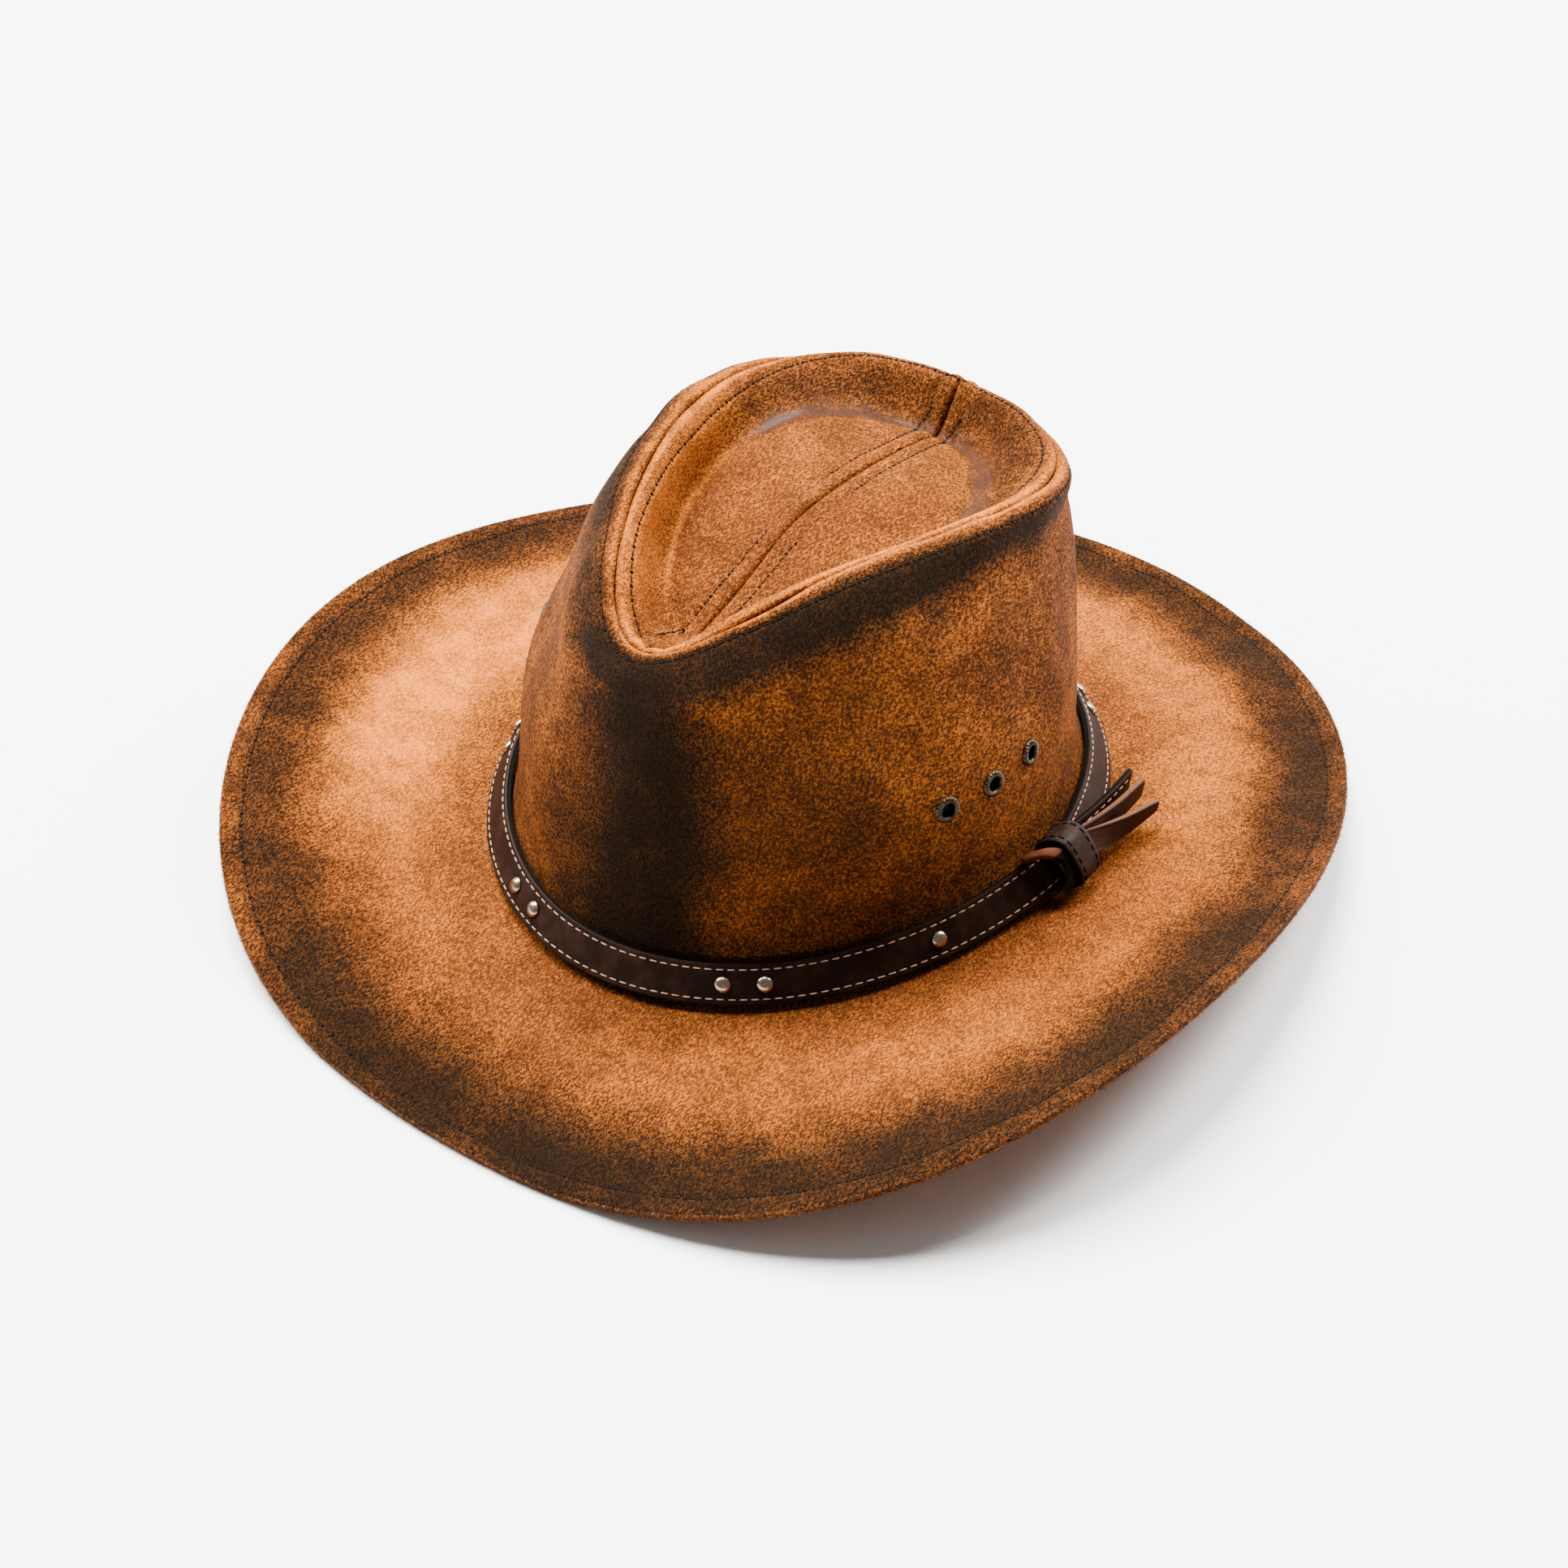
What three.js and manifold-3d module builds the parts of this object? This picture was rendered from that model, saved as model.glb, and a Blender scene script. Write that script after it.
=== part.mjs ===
// Bush hat: a soft suede crown with a teardrop top, a wide brim curled up at the sides, and a narrow
// stitched strap band with a keeper, loose strap ends, dome rivets and eyelets.
// Millimetres, +Z up, +X towards the wearer's left. The front of the brim faces -Y.
import * as THREE from "three";
import { mergeVertices } from "three/addons/utils/BufferGeometryUtils.js";
import Module from "manifold-3d";

const wasm = await Module();
wasm.setup();

const size = {
  crownLength: 201, // outside, where the crown stands on the brim
  crownWidth: 175.6,
  crownHeight: 119, // from the brim to the reference level of the ridge
  crownLeather: 2.2,
  pinchDepth: 8.8, // the dents at both sides of the front
  ridgeRoll: 5.8, // how far the seam slides out and down over the back of the ridge
  brimReach: 83, // mean width of the brim
  brimSwing: 18.4, // height of the raised sides over the mean of the edge
  brimLeather: 3, // two layers sewn together
  restFlat: 2.6, // how much the brim is flattened where it rests
  strapWidth: 12.4,
  strapLeather: 2.4,
  strapSlant: 0.58, // radians, how far the band leans out
  strapLift: 1.2, // lower edge of the band over the brim
  keeperLength: 11.5,
  keeperLeather: 1.6,
  keeperEase: 1.1, // slack between the keeper and the straps in it
  wrapLength: 5,
  strapEndLength: 37,
  strapEndLeather: 1.8,
  strapEndLift: 2, // how far the ends stand off the band by their tips
  strapEndTwist: 0.74, // radians, how far their top edges lean out
  rivetRadius: 2.6,
  rivetHeight: 1.5,
  eyeletRadius: 4.4,
  eyeletHole: 2.3,
  eyeletWall: 0.6, // of the barrel
  eyeletLip: 0.9, // height of the rim over the leather
  clearance: 0.3, // between pieces that lie on one another
};

const crownPinch = { angle: 0.84, spread: 0.42 }; // radians from the front, both sides
// facets around the hat
const crownSteps = 64;
const brimSteps = 72;
const strapSteps = 120;
const endSteps = 40; // along a strap end

// One row per ring of the crown, from the brim up over the ridge and down to the crease of the top.
// reach and shift are shares of half the crown length, half is a share of half its width, and
// height, rise, saddle, sway and wave are shares of the crown height: rise tilts the ring front to
// back, the others bend it. taper and round skew its width, beak sharpens its front, pinch is its
// share of the dents, and out and drop are its shares of the roll over the back of the ridge.
const crownRings = [
  { name: "foot", reach: 0.995, half: 1.017, shift: 0, taper: -0.03, round: 0, beak: 0,
    height: 0.003, rise: 0, saddle: -0.03, sway: 0, wave: 0, pinch: 0, out: 0, drop: 0 },
  { name: "low", reach: 0.965, half: 0.976, shift: 0, taper: -0.05, round: -0.07, beak: 0,
    height: 0.131, rise: 0, saddle: -0.032, sway: 0, wave: 0, pinch: 0, out: 0, drop: 0 },
  { name: "middle", reach: 0.935, half: 0.961, shift: 0.017, taper: -0.09, round: -0.02, beak: -0.005,
    height: 0.426, rise: -0.008, saddle: -0.033, sway: 0, wave: 0, pinch: 0.5, out: 0, drop: 0 },
  { name: "pinched", reach: 0.912, half: 0.834, shift: 0.032, taper: 0, round: 0.05, beak: -0.015,
    height: 0.689, rise: -0.016, saddle: -0.041, sway: -0.008, wave: 0, pinch: 1, out: 0, drop: 0 },
  { name: "shoulder", reach: 0.873, half: 0.711, shift: 0.017, taper: 0.17, round: 0.14, beak: -0.026,
    height: 0.848, rise: -0.033, saddle: -0.051, sway: -0.02, wave: 0.007, pinch: 0.6, out: 0.4, drop: 1.5 },
  { name: "outer_row", reach: 0.827, half: 0.657, shift: 0.035, taper: 0.46, round: 0.01, beak: -0.028,
    height: 0.93, rise: -0.04, saddle: -0.053, sway: -0.022, wave: 0.01, pinch: 0, out: 0.7, drop: 1.7 },
  { name: "seam", reach: 0.773, half: 0.578, shift: 0.047, taper: 0.5, round: 0.16, beak: -0.019,
    height: 0.943, rise: -0.043, saddle: -0.052, sway: -0.025, wave: 0.003, pinch: 0, out: 0.85, drop: 1 },
  { name: "inner_row", reach: 0.752, half: 0.516, shift: 0.051, taper: 0.55, round: 0.04, beak: -0.062,
    height: 0.92, rise: -0.044, saddle: -0.049, sway: -0.023, wave: -0.007, pinch: 0, out: 0.85, drop: -0.5 },
  { name: "crease", reach: 0.581, half: 0.49, shift: 0.09, taper: 0.19, round: -0.07, beak: 0.015,
    height: 0.826, rise: -0.058, saddle: -0.031, sway: 0.009, wave: -0.01, pinch: 0, out: 0, drop: 0 },
];
const seamRow = crownRings.findIndex((row) => row.name === "seam");
const floorRow = crownRings.length; // a ring just inside the crease
const spineRow = crownRings.length + 1; // the centre line of the floor
const floorStep = { along: 0.22, up: 0.3 }; // where the floor ring lies between crease and centre line

// The centre line of the floor of the top, from front to back.
const spineRows = [
  { along: -0.408, height: 0.749 },
  { along: -0.233, height: 0.811 },
  { along: -0.078, height: 0.868 },
  { along: 0.068, height: 0.897 },
  { along: 0.291, height: 0.895 },
  { along: 0.505, height: 0.877 },
];

// The brim edge as a sum of waves around the hat: reach in shares of the brim reach, lift in shares
// of the brim swing. Wave 0 is the mean, wave 2 lifts the sides over the front and back.
const brimWaves = [
  { wave: 0, reach: 1, lift: 0.128 },
  { wave: 1, reach: 0.025, lift: 0.052 },
  { wave: 2, reach: -0.006, lift: -1 },
  { wave: 3, reach: -0.055, lift: -0.22 },
  { wave: 4, reach: -0.034, lift: 0.065 },
  { wave: 5, reach: 0, lift: 0.075 },
];
const brimRows = [0, 0.12, 0.32, 0.52, 0.7, 0.85, 0.93, 1]; // shares of the reach, crown to edge
const brimBow = 0.5; // share of the lift that bends in towards the edge

// Fittings by their angle from the front towards the wearer's left, in degrees.
const rivetAngles = [-66.5, -60.5, -23.5, -16, 28.5, 36, 67, 143, 150, 196, 203, 248, 255];
const eyeletAngles = [70.5, 81.5, 92.5];
const eyeletLevel = 1.93; // in rows of the crown table
const keeperAngle = 95;
const wrapDepth = 0.75; // of the room inside the keeper

const finish = {
  suede: { color: 0xb8713c, roughness: 0.95, metalness: 0 },
  strap: { color: 0x2e1c16, roughness: 0.45, metalness: 0 },
  wrap: { color: 0x7a3f28, roughness: 0.6, metalness: 0 },
  strapEnd: { color: 0x4a2c20, roughness: 0.55, metalness: 0 },
  nickel: { color: 0xb9b2a6, roughness: 0.25, metalness: 1 },
  brass: { color: 0x4f4433, roughness: 0.35, metalness: 1 },
};

const degrees = Math.PI / 180;
const upward = new THREE.Vector3(0, 0, 1);

/** The unit vector away from the axis of the hat at an angle from the front. */
function outwardAt(angle) {
  return new THREE.Vector3(Math.sin(angle), -Math.cos(angle), 0);
}

/** An angle brought to between 0 (front) and pi (back), the same at both sides. */
function fromFront(angle) {
  return Math.acos(Math.cos(angle));
}

/** A point of one ring of the crown table. */
function ringPoint(row, angle) {
  const length = size.crownLength / 2;
  const cos = Math.cos(angle);
  const back = Math.max(0, -cos) ** 4 * size.ridgeRoll;
  const skew = 1 - row.taper * cos + row.round * cos * cos;
  const point = new THREE.Vector3(
    (size.crownWidth / 2) * row.half * Math.sin(angle) * skew,
    length * (row.shift - row.reach * (cos + row.beak * Math.cos(3 * angle))) + row.out * back,
    size.crownHeight *
      (row.height +
        row.rise * cos +
        row.saddle * Math.cos(2 * angle) +
        row.sway * Math.cos(3 * angle) +
        row.wave * Math.cos(4 * angle)) -
      row.drop * back,
  );
  const off = (fromFront(angle) - crownPinch.angle) / crownPinch.spread;
  return point.addScaledVector(outwardAt(angle), -size.pinchDepth * row.pinch * Math.exp(-off * off));
}

/** The centre line of the floor, met by the meridian at an angle. */
const spineCurve = new THREE.CatmullRomCurve3(
  spineRows.map((row) => new THREE.Vector3(
    0,
    (row.along * size.crownLength) / 2,
    row.height * size.crownHeight,
  )),
);

/** The smooth line up the crown at an angle, over the ridge and down to the centre line. */
function meridian(angle) {
  const points = crownRings.map((row) => ringPoint(row, angle));
  const crease = points[points.length - 1];
  const spine = spineCurve.getPoint(fromFront(angle) / Math.PI);
  const floor = crease.clone().lerp(spine, floorStep.along);
  floor.z = THREE.MathUtils.lerp(crease.z, spine.z, floorStep.up);
  return new THREE.CatmullRomCurve3([...points, floor, spine]);
}

/** A point of the crown's outer face; level counts rows of the table, with fractions between. */
function crownPoint(angle, level) {
  return meridian(angle).getPoint(level / spineRow);
}

/** The direction out of the crown's outer face. */
function crownNormal(angle, level) {
  const step = 0.01;
  const low = Math.max(level - step, 0);
  const high = Math.min(level + step, spineRow);
  const up = crownPoint(angle, high).sub(crownPoint(angle, low));
  const around = crownPoint(angle + step, level).sub(crownPoint(angle - step, level));
  return around.cross(up).normalize();
}

/** The waves of the brim edge summed at an angle, for the named column. */
function brimSum(column, angle) {
  return brimWaves.reduce((sum, row) => sum + row[column] * Math.cos(row.wave * angle), 0);
}

/** A point of the brim's upper face; share runs from the crown's inside (0) to the edge (1). */
function brimPoint(angle, share) {
  const foot = ringPoint(crownRings[0], angle);
  const start = foot.addScaledVector(outwardAt(angle), -size.crownLeather);
  start.z -= size.clearance + crownRings[0].height * size.crownHeight;
  const reach = size.crownLeather + size.brimReach * brimSum("reach", angle);
  const edgeHeight = size.brimSwing * brimSum("lift", angle);
  const bow = (1 - brimBow) * share + brimBow * share * share;
  const point = start.clone().addScaledVector(outwardAt(angle), reach * share);
  point.z = THREE.MathUtils.lerp(start.z, edgeHeight, bow);
  return point;
}

/** The direction out of the brim's upper face. */
function brimNormal(angle, share) {
  const step = 0.01;
  const out = brimPoint(angle, share + step).sub(brimPoint(angle, share - step));
  const around = brimPoint(angle + step, share).sub(brimPoint(angle - step, share));
  return out.cross(around).normalize();
}

/** How the hat settles on its brim: tilted until the front and back touch, then centred. */
function restingPlace() {
  const front = brimPoint(0, 1);
  const back = brimPoint(Math.PI, 1);
  const tilt = Math.atan2(front.z - back.z, back.y - front.y);
  const turn = new THREE.Matrix4().makeRotationX(tilt);
  front.applyMatrix4(turn);
  back.applyMatrix4(turn);
  const raise = size.brimLeather - size.restFlat - front.z;
  return turn.premultiply(new THREE.Matrix4().makeTranslation(0, -(front.y + back.y) / 2, raise));
}
const settle = restingPlace();

/** A closed geometry from a list of equal sections, each a closed outline of points. */
function sweep(sections, looped) {
  const count = sections[0].length;
  const spans = looped ? sections.length : sections.length - 1;
  const index = [];
  const at = (section, corner) => (section % sections.length) * count + (corner % count);
  for (let i = 0; i < spans; i += 1) {
    for (let j = 0; j < count; j += 1) {
      index.push(at(i, j), at(i + 1, j), at(i + 1, j + 1));
      index.push(at(i, j), at(i + 1, j + 1), at(i, j + 1));
    }
  }
  if (!looped) {
    const end = sections.length - 1;
    for (let j = 0; j < count / 2 - 1; j += 1) {
      const [a, b, c, d] = [j, j + 1, count - 2 - j, count - 1 - j];
      index.push(at(0, a), at(0, b), at(0, c), at(0, a), at(0, c), at(0, d));
      index.push(at(end, c), at(end, b), at(end, a), at(end, d), at(end, c), at(end, a));
    }
  }
  return facingOut(new THREE.BufferGeometry().setFromPoints(sections.flat()), index);
}

/** The geometry with its triangles all turned outward. */
function facingOut(geometry, index) {
  const position = geometry.getAttribute("position");
  const [a, b, c] = [new THREE.Vector3(), new THREE.Vector3(), new THREE.Vector3()];
  let volume = 0;
  for (let i = 0; i < index.length; i += 3) {
    a.fromBufferAttribute(position, index[i]);
    b.fromBufferAttribute(position, index[i + 1]);
    c.fromBufferAttribute(position, index[i + 2]);
    volume += a.dot(b.cross(c));
  }
  geometry.setIndex(volume > 0 ? index : index.reverse());
  return geometry;
}

/** The list of count + 1 equal steps between two values. */
function steps(from, to, count) {
  return Array.from({ length: count + 1 }, (_, i) => THREE.MathUtils.lerp(from, to, i / count));
}

/** The section of the crown's leather at an angle, between the levels given. */
function crownSection(angle, levels) {
  const outer = levels.map((level) => crownPoint(angle, level));
  const inner = levels.map((level, i) =>
    outer[i].clone().addScaledVector(crownNormal(angle, level), -size.crownLeather));
  return [...outer, ...inner.reverse()];
}

/** The side of the crown, from the brim to the seam of the ridge. */
function crownSide() {
  const seamGap = size.clearance / crownPoint(0, seamRow).distanceTo(crownPoint(0, seamRow - 1));
  const flat = (1.1 * size.eyeletRadius) / crownPoint(0, 1).distanceTo(crownPoint(0, 2));
  const below = steps(0, eyeletLevel - 0.43, 3);
  const above = steps(eyeletLevel + 0.67, seamRow - seamGap / 2, 6);
  const levels = [...below, eyeletLevel - flat, eyeletLevel + flat, ...above];
  const sections = [];
  for (let i = 0; i < crownSteps; i += 1) {
    const section = crownSection((i / crownSteps) * 2 * Math.PI, levels);
    const [foot, footInside] = [section[0], section[section.length - 1]];
    footInside.z = foot.z;
    sections.push(section);
  }
  return sweep(sections, true);
}

/** Half of the top panel: side is 1 for the wearer's left, -1 for the right. */
function crownTop(side) {
  const seamGap = size.clearance / crownPoint(0, seamRow).distanceTo(crownPoint(0, seamRow + 1));
  const levels = [...steps(seamRow + seamGap / 2, floorRow, 6), spineRow];
  const half = size.clearance / 2;
  const sections = steps(0, Math.PI, crownSteps / 2).map((angle) => {
    const section = crownSection(angle, levels);
    section.forEach((point) => {
      const onCentre = angle === 0 || angle === Math.PI || point.x < half;
      point.x = side * (onCentre ? half : point.x);
    });
    section[levels.length - 1].x = side * half;
    section[levels.length].x = side * half;
    return section;
  });
  return sweep(sections, false);
}

/** The brim: its underside pressed flat where it rests on the floor. */
function brim() {
  const sections = [];
  for (let i = 0; i < brimSteps; i += 1) {
    const angle = (i / brimSteps) * 2 * Math.PI;
    const pairs = brimRows.map((share) => {
      const top = brimPoint(angle, share);
      const under = top.clone().addScaledVector(brimNormal(angle, share), -size.brimLeather);
      top.applyMatrix4(settle);
      under.applyMatrix4(settle);
      const press = Math.max(0, -under.z);
      top.z += press;
      under.z += press;
      return { top, under };
    });
    sections.push([...pairs.map((pair) => pair.top), ...pairs.map((pair) => pair.under).reverse()]);
  }
  return sweep(sections, true);
}

/** Where the middle of the band's outer face runs, with the directions across it and out of it. */
function bandFrame(angle) {
  const stand = size.strapWidth * Math.cos(size.strapSlant);
  const gap = size.clearance;
  const start = brimPoint(angle, 0);
  const share = (size.crownLeather + size.strapWidth * Math.sin(size.strapSlant)) / size.brimReach;
  const rise = Math.max(0, brimPoint(angle, share).z - start.z);
  const foot = size.strapLift + size.strapLeather * Math.sin(size.strapSlant) + rise;
  const top = crownRowAt(angle, start.z + foot + stand);
  const out = outwardAt(angle);
  const thickness = size.strapLeather / Math.cos(size.strapSlant);
  const nearKeeper = Math.exp(-(((angle - keeperAngle * degrees) / keeperSpread()) ** 2));
  const across = new THREE.Vector3()
    .addScaledVector(out, -Math.sin(size.strapSlant))
    .addScaledVector(upward, Math.cos(size.strapSlant));
  const normal = new THREE.Vector3()
    .addScaledVector(out, Math.cos(size.strapSlant))
    .addScaledVector(upward, Math.sin(size.strapSlant));
  const room = nearKeeper * keeperRoom();
  const middle = top
    .addScaledVector(out, gap + thickness + room)
    .addScaledVector(upward, room)
    .addScaledVector(across, -size.strapWidth / 2);
  return { middle, across, normal };
}

/** The point of the crown's wall at an angle and a height near its foot. */
function crownRowAt(angle, height) {
  let level = 0.8;
  for (let i = 0; i < 4; i += 1) {
    const slope = (crownPoint(angle, level + 0.05).z - crownPoint(angle, level - 0.05).z) / 0.1;
    level += (height - crownPoint(angle, level).z) / slope;
  }
  return crownPoint(angle, level);
}

/** Room for the keeper between the band and the crown, and under the band. */
function keeperRoom() {
  return size.keeperLeather + size.keeperEase + size.clearance;
}

/** How far around the hat the band stands off beside the keeper, in radians. */
function keeperSpread() {
  return (1.6 * size.keeperLength) / (size.crownLength / 2);
}

/** The corners of a strap section around its outer middle point. */
function strapSection(middle, across, normal, width, thickness) {
  const corner = (side, depth) => middle.clone()
    .addScaledVector(across, (side * width) / 2)
    .addScaledVector(normal, -depth);
  return [corner(-1, 0), corner(1, 0), corner(1, thickness), corner(-1, thickness)];
}

/** The strap band, once around the crown. */
function hatBand() {
  const sections = [];
  for (let i = 0; i < strapSteps; i += 1) {
    const { middle, across, normal } = bandFrame((i / strapSteps) * 2 * Math.PI);
    sections.push(strapSection(middle, across, normal, size.strapWidth, size.strapLeather));
  }
  return sweep(sections, true);
}

/** The frame of the strap at the keeper: along the strap, across it and out of it. */
function keeperFrame(angle) {
  const step = 0.02;
  const { middle, across } = bandFrame(angle);
  const along = bandFrame(angle + step).middle.sub(bandFrame(angle - step).middle).normalize();
  const normal = along.clone().cross(across).normalize();
  return { middle, along, across: normal.clone().cross(along).normalize(), normal };
}

/** A leather ring around the strap; depth is the room inside it from the back of the band out. */
function strapRing(angle, length, leather, depth) {
  const { middle, along, across, normal } = keeperFrame(angle);
  const centre = middle.clone()
    .addScaledVector(normal, depth / 2 - size.strapLeather - size.keeperEase);
  const halfWidth = size.strapWidth / 2 + size.keeperEase;
  const corners = 24;
  const squareness = 6; // 2 would be an ellipse
  const sections = [];
  for (let i = 0; i < corners; i += 1) {
    const turn = (i / corners) * 2 * Math.PI;
    const section = [[0, -1], [0, 1], [1, 1], [1, -1]].map(([skin, end]) => {
      const spread = Math.abs(Math.cos(turn)) ** squareness + Math.abs(Math.sin(turn)) ** squareness;
      const square = Math.pow(spread, -1 / squareness);
      return centre.clone()
        .addScaledVector(across, Math.cos(turn) * square * (halfWidth + skin * leather))
        .addScaledVector(normal, Math.sin(turn) * square * (depth / 2 + skin * leather))
        .addScaledVector(along, (end * length) / 2);
    });
    sections.push(section);
  }
  return sweep(sections, true);
}

/** Room inside the keeper: the band and the three strap ends with gaps between them. */
function keeperDepth() {
  const layers = strapEnds.length;
  return size.strapLeather + layers * (size.strapEndLeather + size.clearance) + 2 * size.keeperEase;
}

/** The ring that holds the band and the strap ends. */
function keeper() {
  return strapRing(keeperAngle * degrees, size.keeperLength, size.keeperLeather, keeperDepth());
}

/** The turn of leather around the band, just in front of the keeper. */
function strapWrap() {
  const apart = (size.keeperLength + size.wrapLength) / 2 + size.keeperEase;
  const angle = keeperAngle * degrees - apart / (size.crownLength / 2);
  return strapRing(angle, size.wrapLength, size.keeperLeather, wrapDepth * keeperDepth());
}

// The loose ends, counted outwards from the band. rise and splay are how far the tip moves up and
// out, wide and long are shares of the strap's width and of the named length, and tip is the share
// of the width left at the end.
const strapEnds = [
  { name: "strap_end_stitched", layer: 1, rise: 3, splay: 0.5, wide: 1, long: 0.93, tip: 0.7 },
  { name: "strap_end_upper", layer: 2, rise: 1.5, splay: 2, wide: 0.8, long: 0.95, tip: 0.75 },
  { name: "strap_end_lower", layer: 3, rise: -5.5, splay: 4, wide: 0.7, long: 0.93, tip: 0.5 },
];
const twistRun = 0.35; // share of an end, from the keeper on, in which it takes its twist

/** A loose strap end, from inside the keeper straight on away from the crown. */
function strapEnd(row) {
  const { middle, along, across, normal } = keeperFrame(keeperAngle * degrees);
  const depth = row.layer * (size.strapEndLeather + size.clearance);
  const start = middle.clone().addScaledVector(along, -size.keeperLength / 2);
  const length = size.strapEndLength * row.long + size.keeperLength;
  const sections = steps(0, 1, endSteps).map((share) => {
    const free = Math.max(0, share - size.keeperLength / length);
    const narrow = row.wide * (1 - (1 - row.tip) * share ** 6);
    const lean = size.strapEndTwist * Math.min(1, free / twistRun);
    const outward = normal.clone().applyAxisAngle(along, lean);
    const centre = start.clone()
      .addScaledVector(along, length * share)
      .addScaledVector(across, row.rise * free)
      .addScaledVector(outward, depth)
      .addScaledVector(normal, row.splay * free * free + size.strapEndLift * free);
    return strapSection(
      centre,
      across.clone().applyAxisAngle(along, lean),
      outward,
      size.strapWidth * narrow - 2 * size.clearance,
      size.strapEndLeather,
    );
  });
  return sweep(sections, false);
}

/** A turned piece set on a surface, its axis along the direction out of it. */
function turned(profile, point, normal) {
  const facets = 10;
  const outline = profile.map(([radius, height]) => new THREE.Vector2(radius, height));
  const geometry = new THREE.LatheGeometry(outline, facets);
  geometry.rotateX(Math.PI / 2);
  geometry.applyQuaternion(new THREE.Quaternion().setFromUnitVectors(upward, normal));
  geometry.translate(point.x, point.y, point.z);
  const merged = welded(geometry);
  return facingOut(merged, Array.from(merged.index.array));
}

/** The geometry with its doubled vertices joined. */
function welded(geometry) {
  geometry.deleteAttribute("normal");
  geometry.deleteAttribute("uv");
  return mergeVertices(geometry, 1e-4);
}

/** A dome rivet on the band. */
function rivet(angle) {
  const { middle, normal } = bandFrame(angle);
  const rows = 3;
  const dome = steps(0, Math.PI / 2, rows).map((turn) => [
    size.rivetRadius * Math.cos(turn),
    size.rivetHeight * Math.sin(turn),
  ]);
  dome[rows][0] = 0;
  return turned([[0, 0], ...dome], middle.addScaledVector(normal, size.clearance), normal);
}

/** An eyelet: a flange outside, a barrel through the leather and a flange inside. */
function eyelet(angle) {
  const { eyeletRadius, eyeletHole, crownLeather, clearance } = size;
  const barrel = eyeletBarrel();
  const lip = size.eyeletLip;
  const inside = -crownLeather - 2 * clearance; // the wall bends away under the flange
  const profile = [
    [eyeletHole, inside - lip / 2],
    [eyeletRadius, inside - lip / 2],
    [eyeletRadius, inside],
    [barrel, inside],
    [barrel, clearance],
    [eyeletRadius, clearance],
    [(eyeletRadius + eyeletHole) / 2, clearance + lip],
    [eyeletHole, clearance + lip / 2],
    [eyeletHole, inside - lip / 2],
  ];
  return turned(profile, crownPoint(angle, eyeletLevel), crownNormal(angle, eyeletLevel));
}

/** Outer radius of the eyelet barrel. */
function eyeletBarrel() {
  return size.eyeletHole + size.eyeletWall;
}

/** The geometry as a solid for cutting. */
function solid(geometry) {
  const merged = welded(geometry.clone());
  return new wasm.Manifold(new wasm.Mesh({
    numProp: 3,
    vertProperties: new Float32Array(merged.getAttribute("position").array),
    triVerts: new Uint32Array(merged.index.array),
  }));
}

/** The crown side with the eyelet holes cut through. */
function crownSideWithHoles(angles) {
  let body = solid(crownSide());
  const radius = eyeletBarrel() + size.clearance;
  const reach = 8 * size.crownLeather; // well past both faces of the wall
  const facets = 16;
  const drillAxis = new THREE.Vector3(0, 1, 0);
  angles.forEach((angle) => {
    const point = crownPoint(angle, eyeletLevel);
    const normal = crownNormal(angle, eyeletLevel);
    const drill = new THREE.CylinderGeometry(radius, radius, reach, facets);
    drill.applyQuaternion(new THREE.Quaternion().setFromUnitVectors(drillAxis, normal));
    drill.translate(point.x, point.y, point.z);
    body = body.subtract(solid(drill));
  });
  const mesh = body.getMesh();
  const geometry = new THREE.BufferGeometry();
  geometry.setAttribute("position", new THREE.BufferAttribute(new Float32Array(mesh.vertProperties), 3));
  geometry.setIndex(Array.from(mesh.triVerts));
  return geometry;
}

const hat = new THREE.Group();

/** Adds a named piece in its own finish, settled on the floor unless it already is. */
function add(name, geometry, look, settled = false) {
  if (!settled) {
    geometry.applyMatrix4(settle);
  }
  geometry.computeVertexNormals();
  const mesh = new THREE.Mesh(geometry, new THREE.MeshStandardMaterial(look));
  mesh.name = name;
  hat.add(mesh);
}

const leftEyelets = eyeletAngles.map((angle) => angle * degrees);
const rightEyelets = leftEyelets.map((angle) => -angle);

add("brim", brim(), finish.suede, true);
add("crown_side", crownSideWithHoles([...leftEyelets, ...rightEyelets]), finish.suede);
add("crown_top_left", crownTop(1), finish.suede);
add("crown_top_right", crownTop(-1), finish.suede);
add("hat_band", hatBand(), finish.strap);
add("band_keeper", keeper(), finish.strap);
add("strap_wrap", strapWrap(), finish.wrap);
strapEnds.forEach((row) => add(row.name, strapEnd(row), finish.strapEnd));
rivetAngles.forEach((angle, i) => add(`rivet_${i + 1}`, rivet(angle * degrees), finish.nickel));
leftEyelets.forEach((angle, i) => add(`eyelet_left_${i + 1}`, eyelet(angle), finish.brass));
rightEyelets.forEach((angle, i) => add(`eyelet_right_${i + 1}`, eyelet(angle), finish.brass));

export default hat;
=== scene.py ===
"""A suede bush hat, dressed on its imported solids.

The hat's form is worked out in millimetres, with the brim's inner edge near height 0, the front
towards -Y and the wearer's left towards +X. It is then settled on the floor, still in millimetres,
and each piece is laid down in metres, as the solids are.
"""

import logging
import math
from dataclasses import dataclass, field
from enum import Enum
from typing import Sequence

import bpy
import numpy as np
from mathutils import Matrix, Vector

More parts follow.
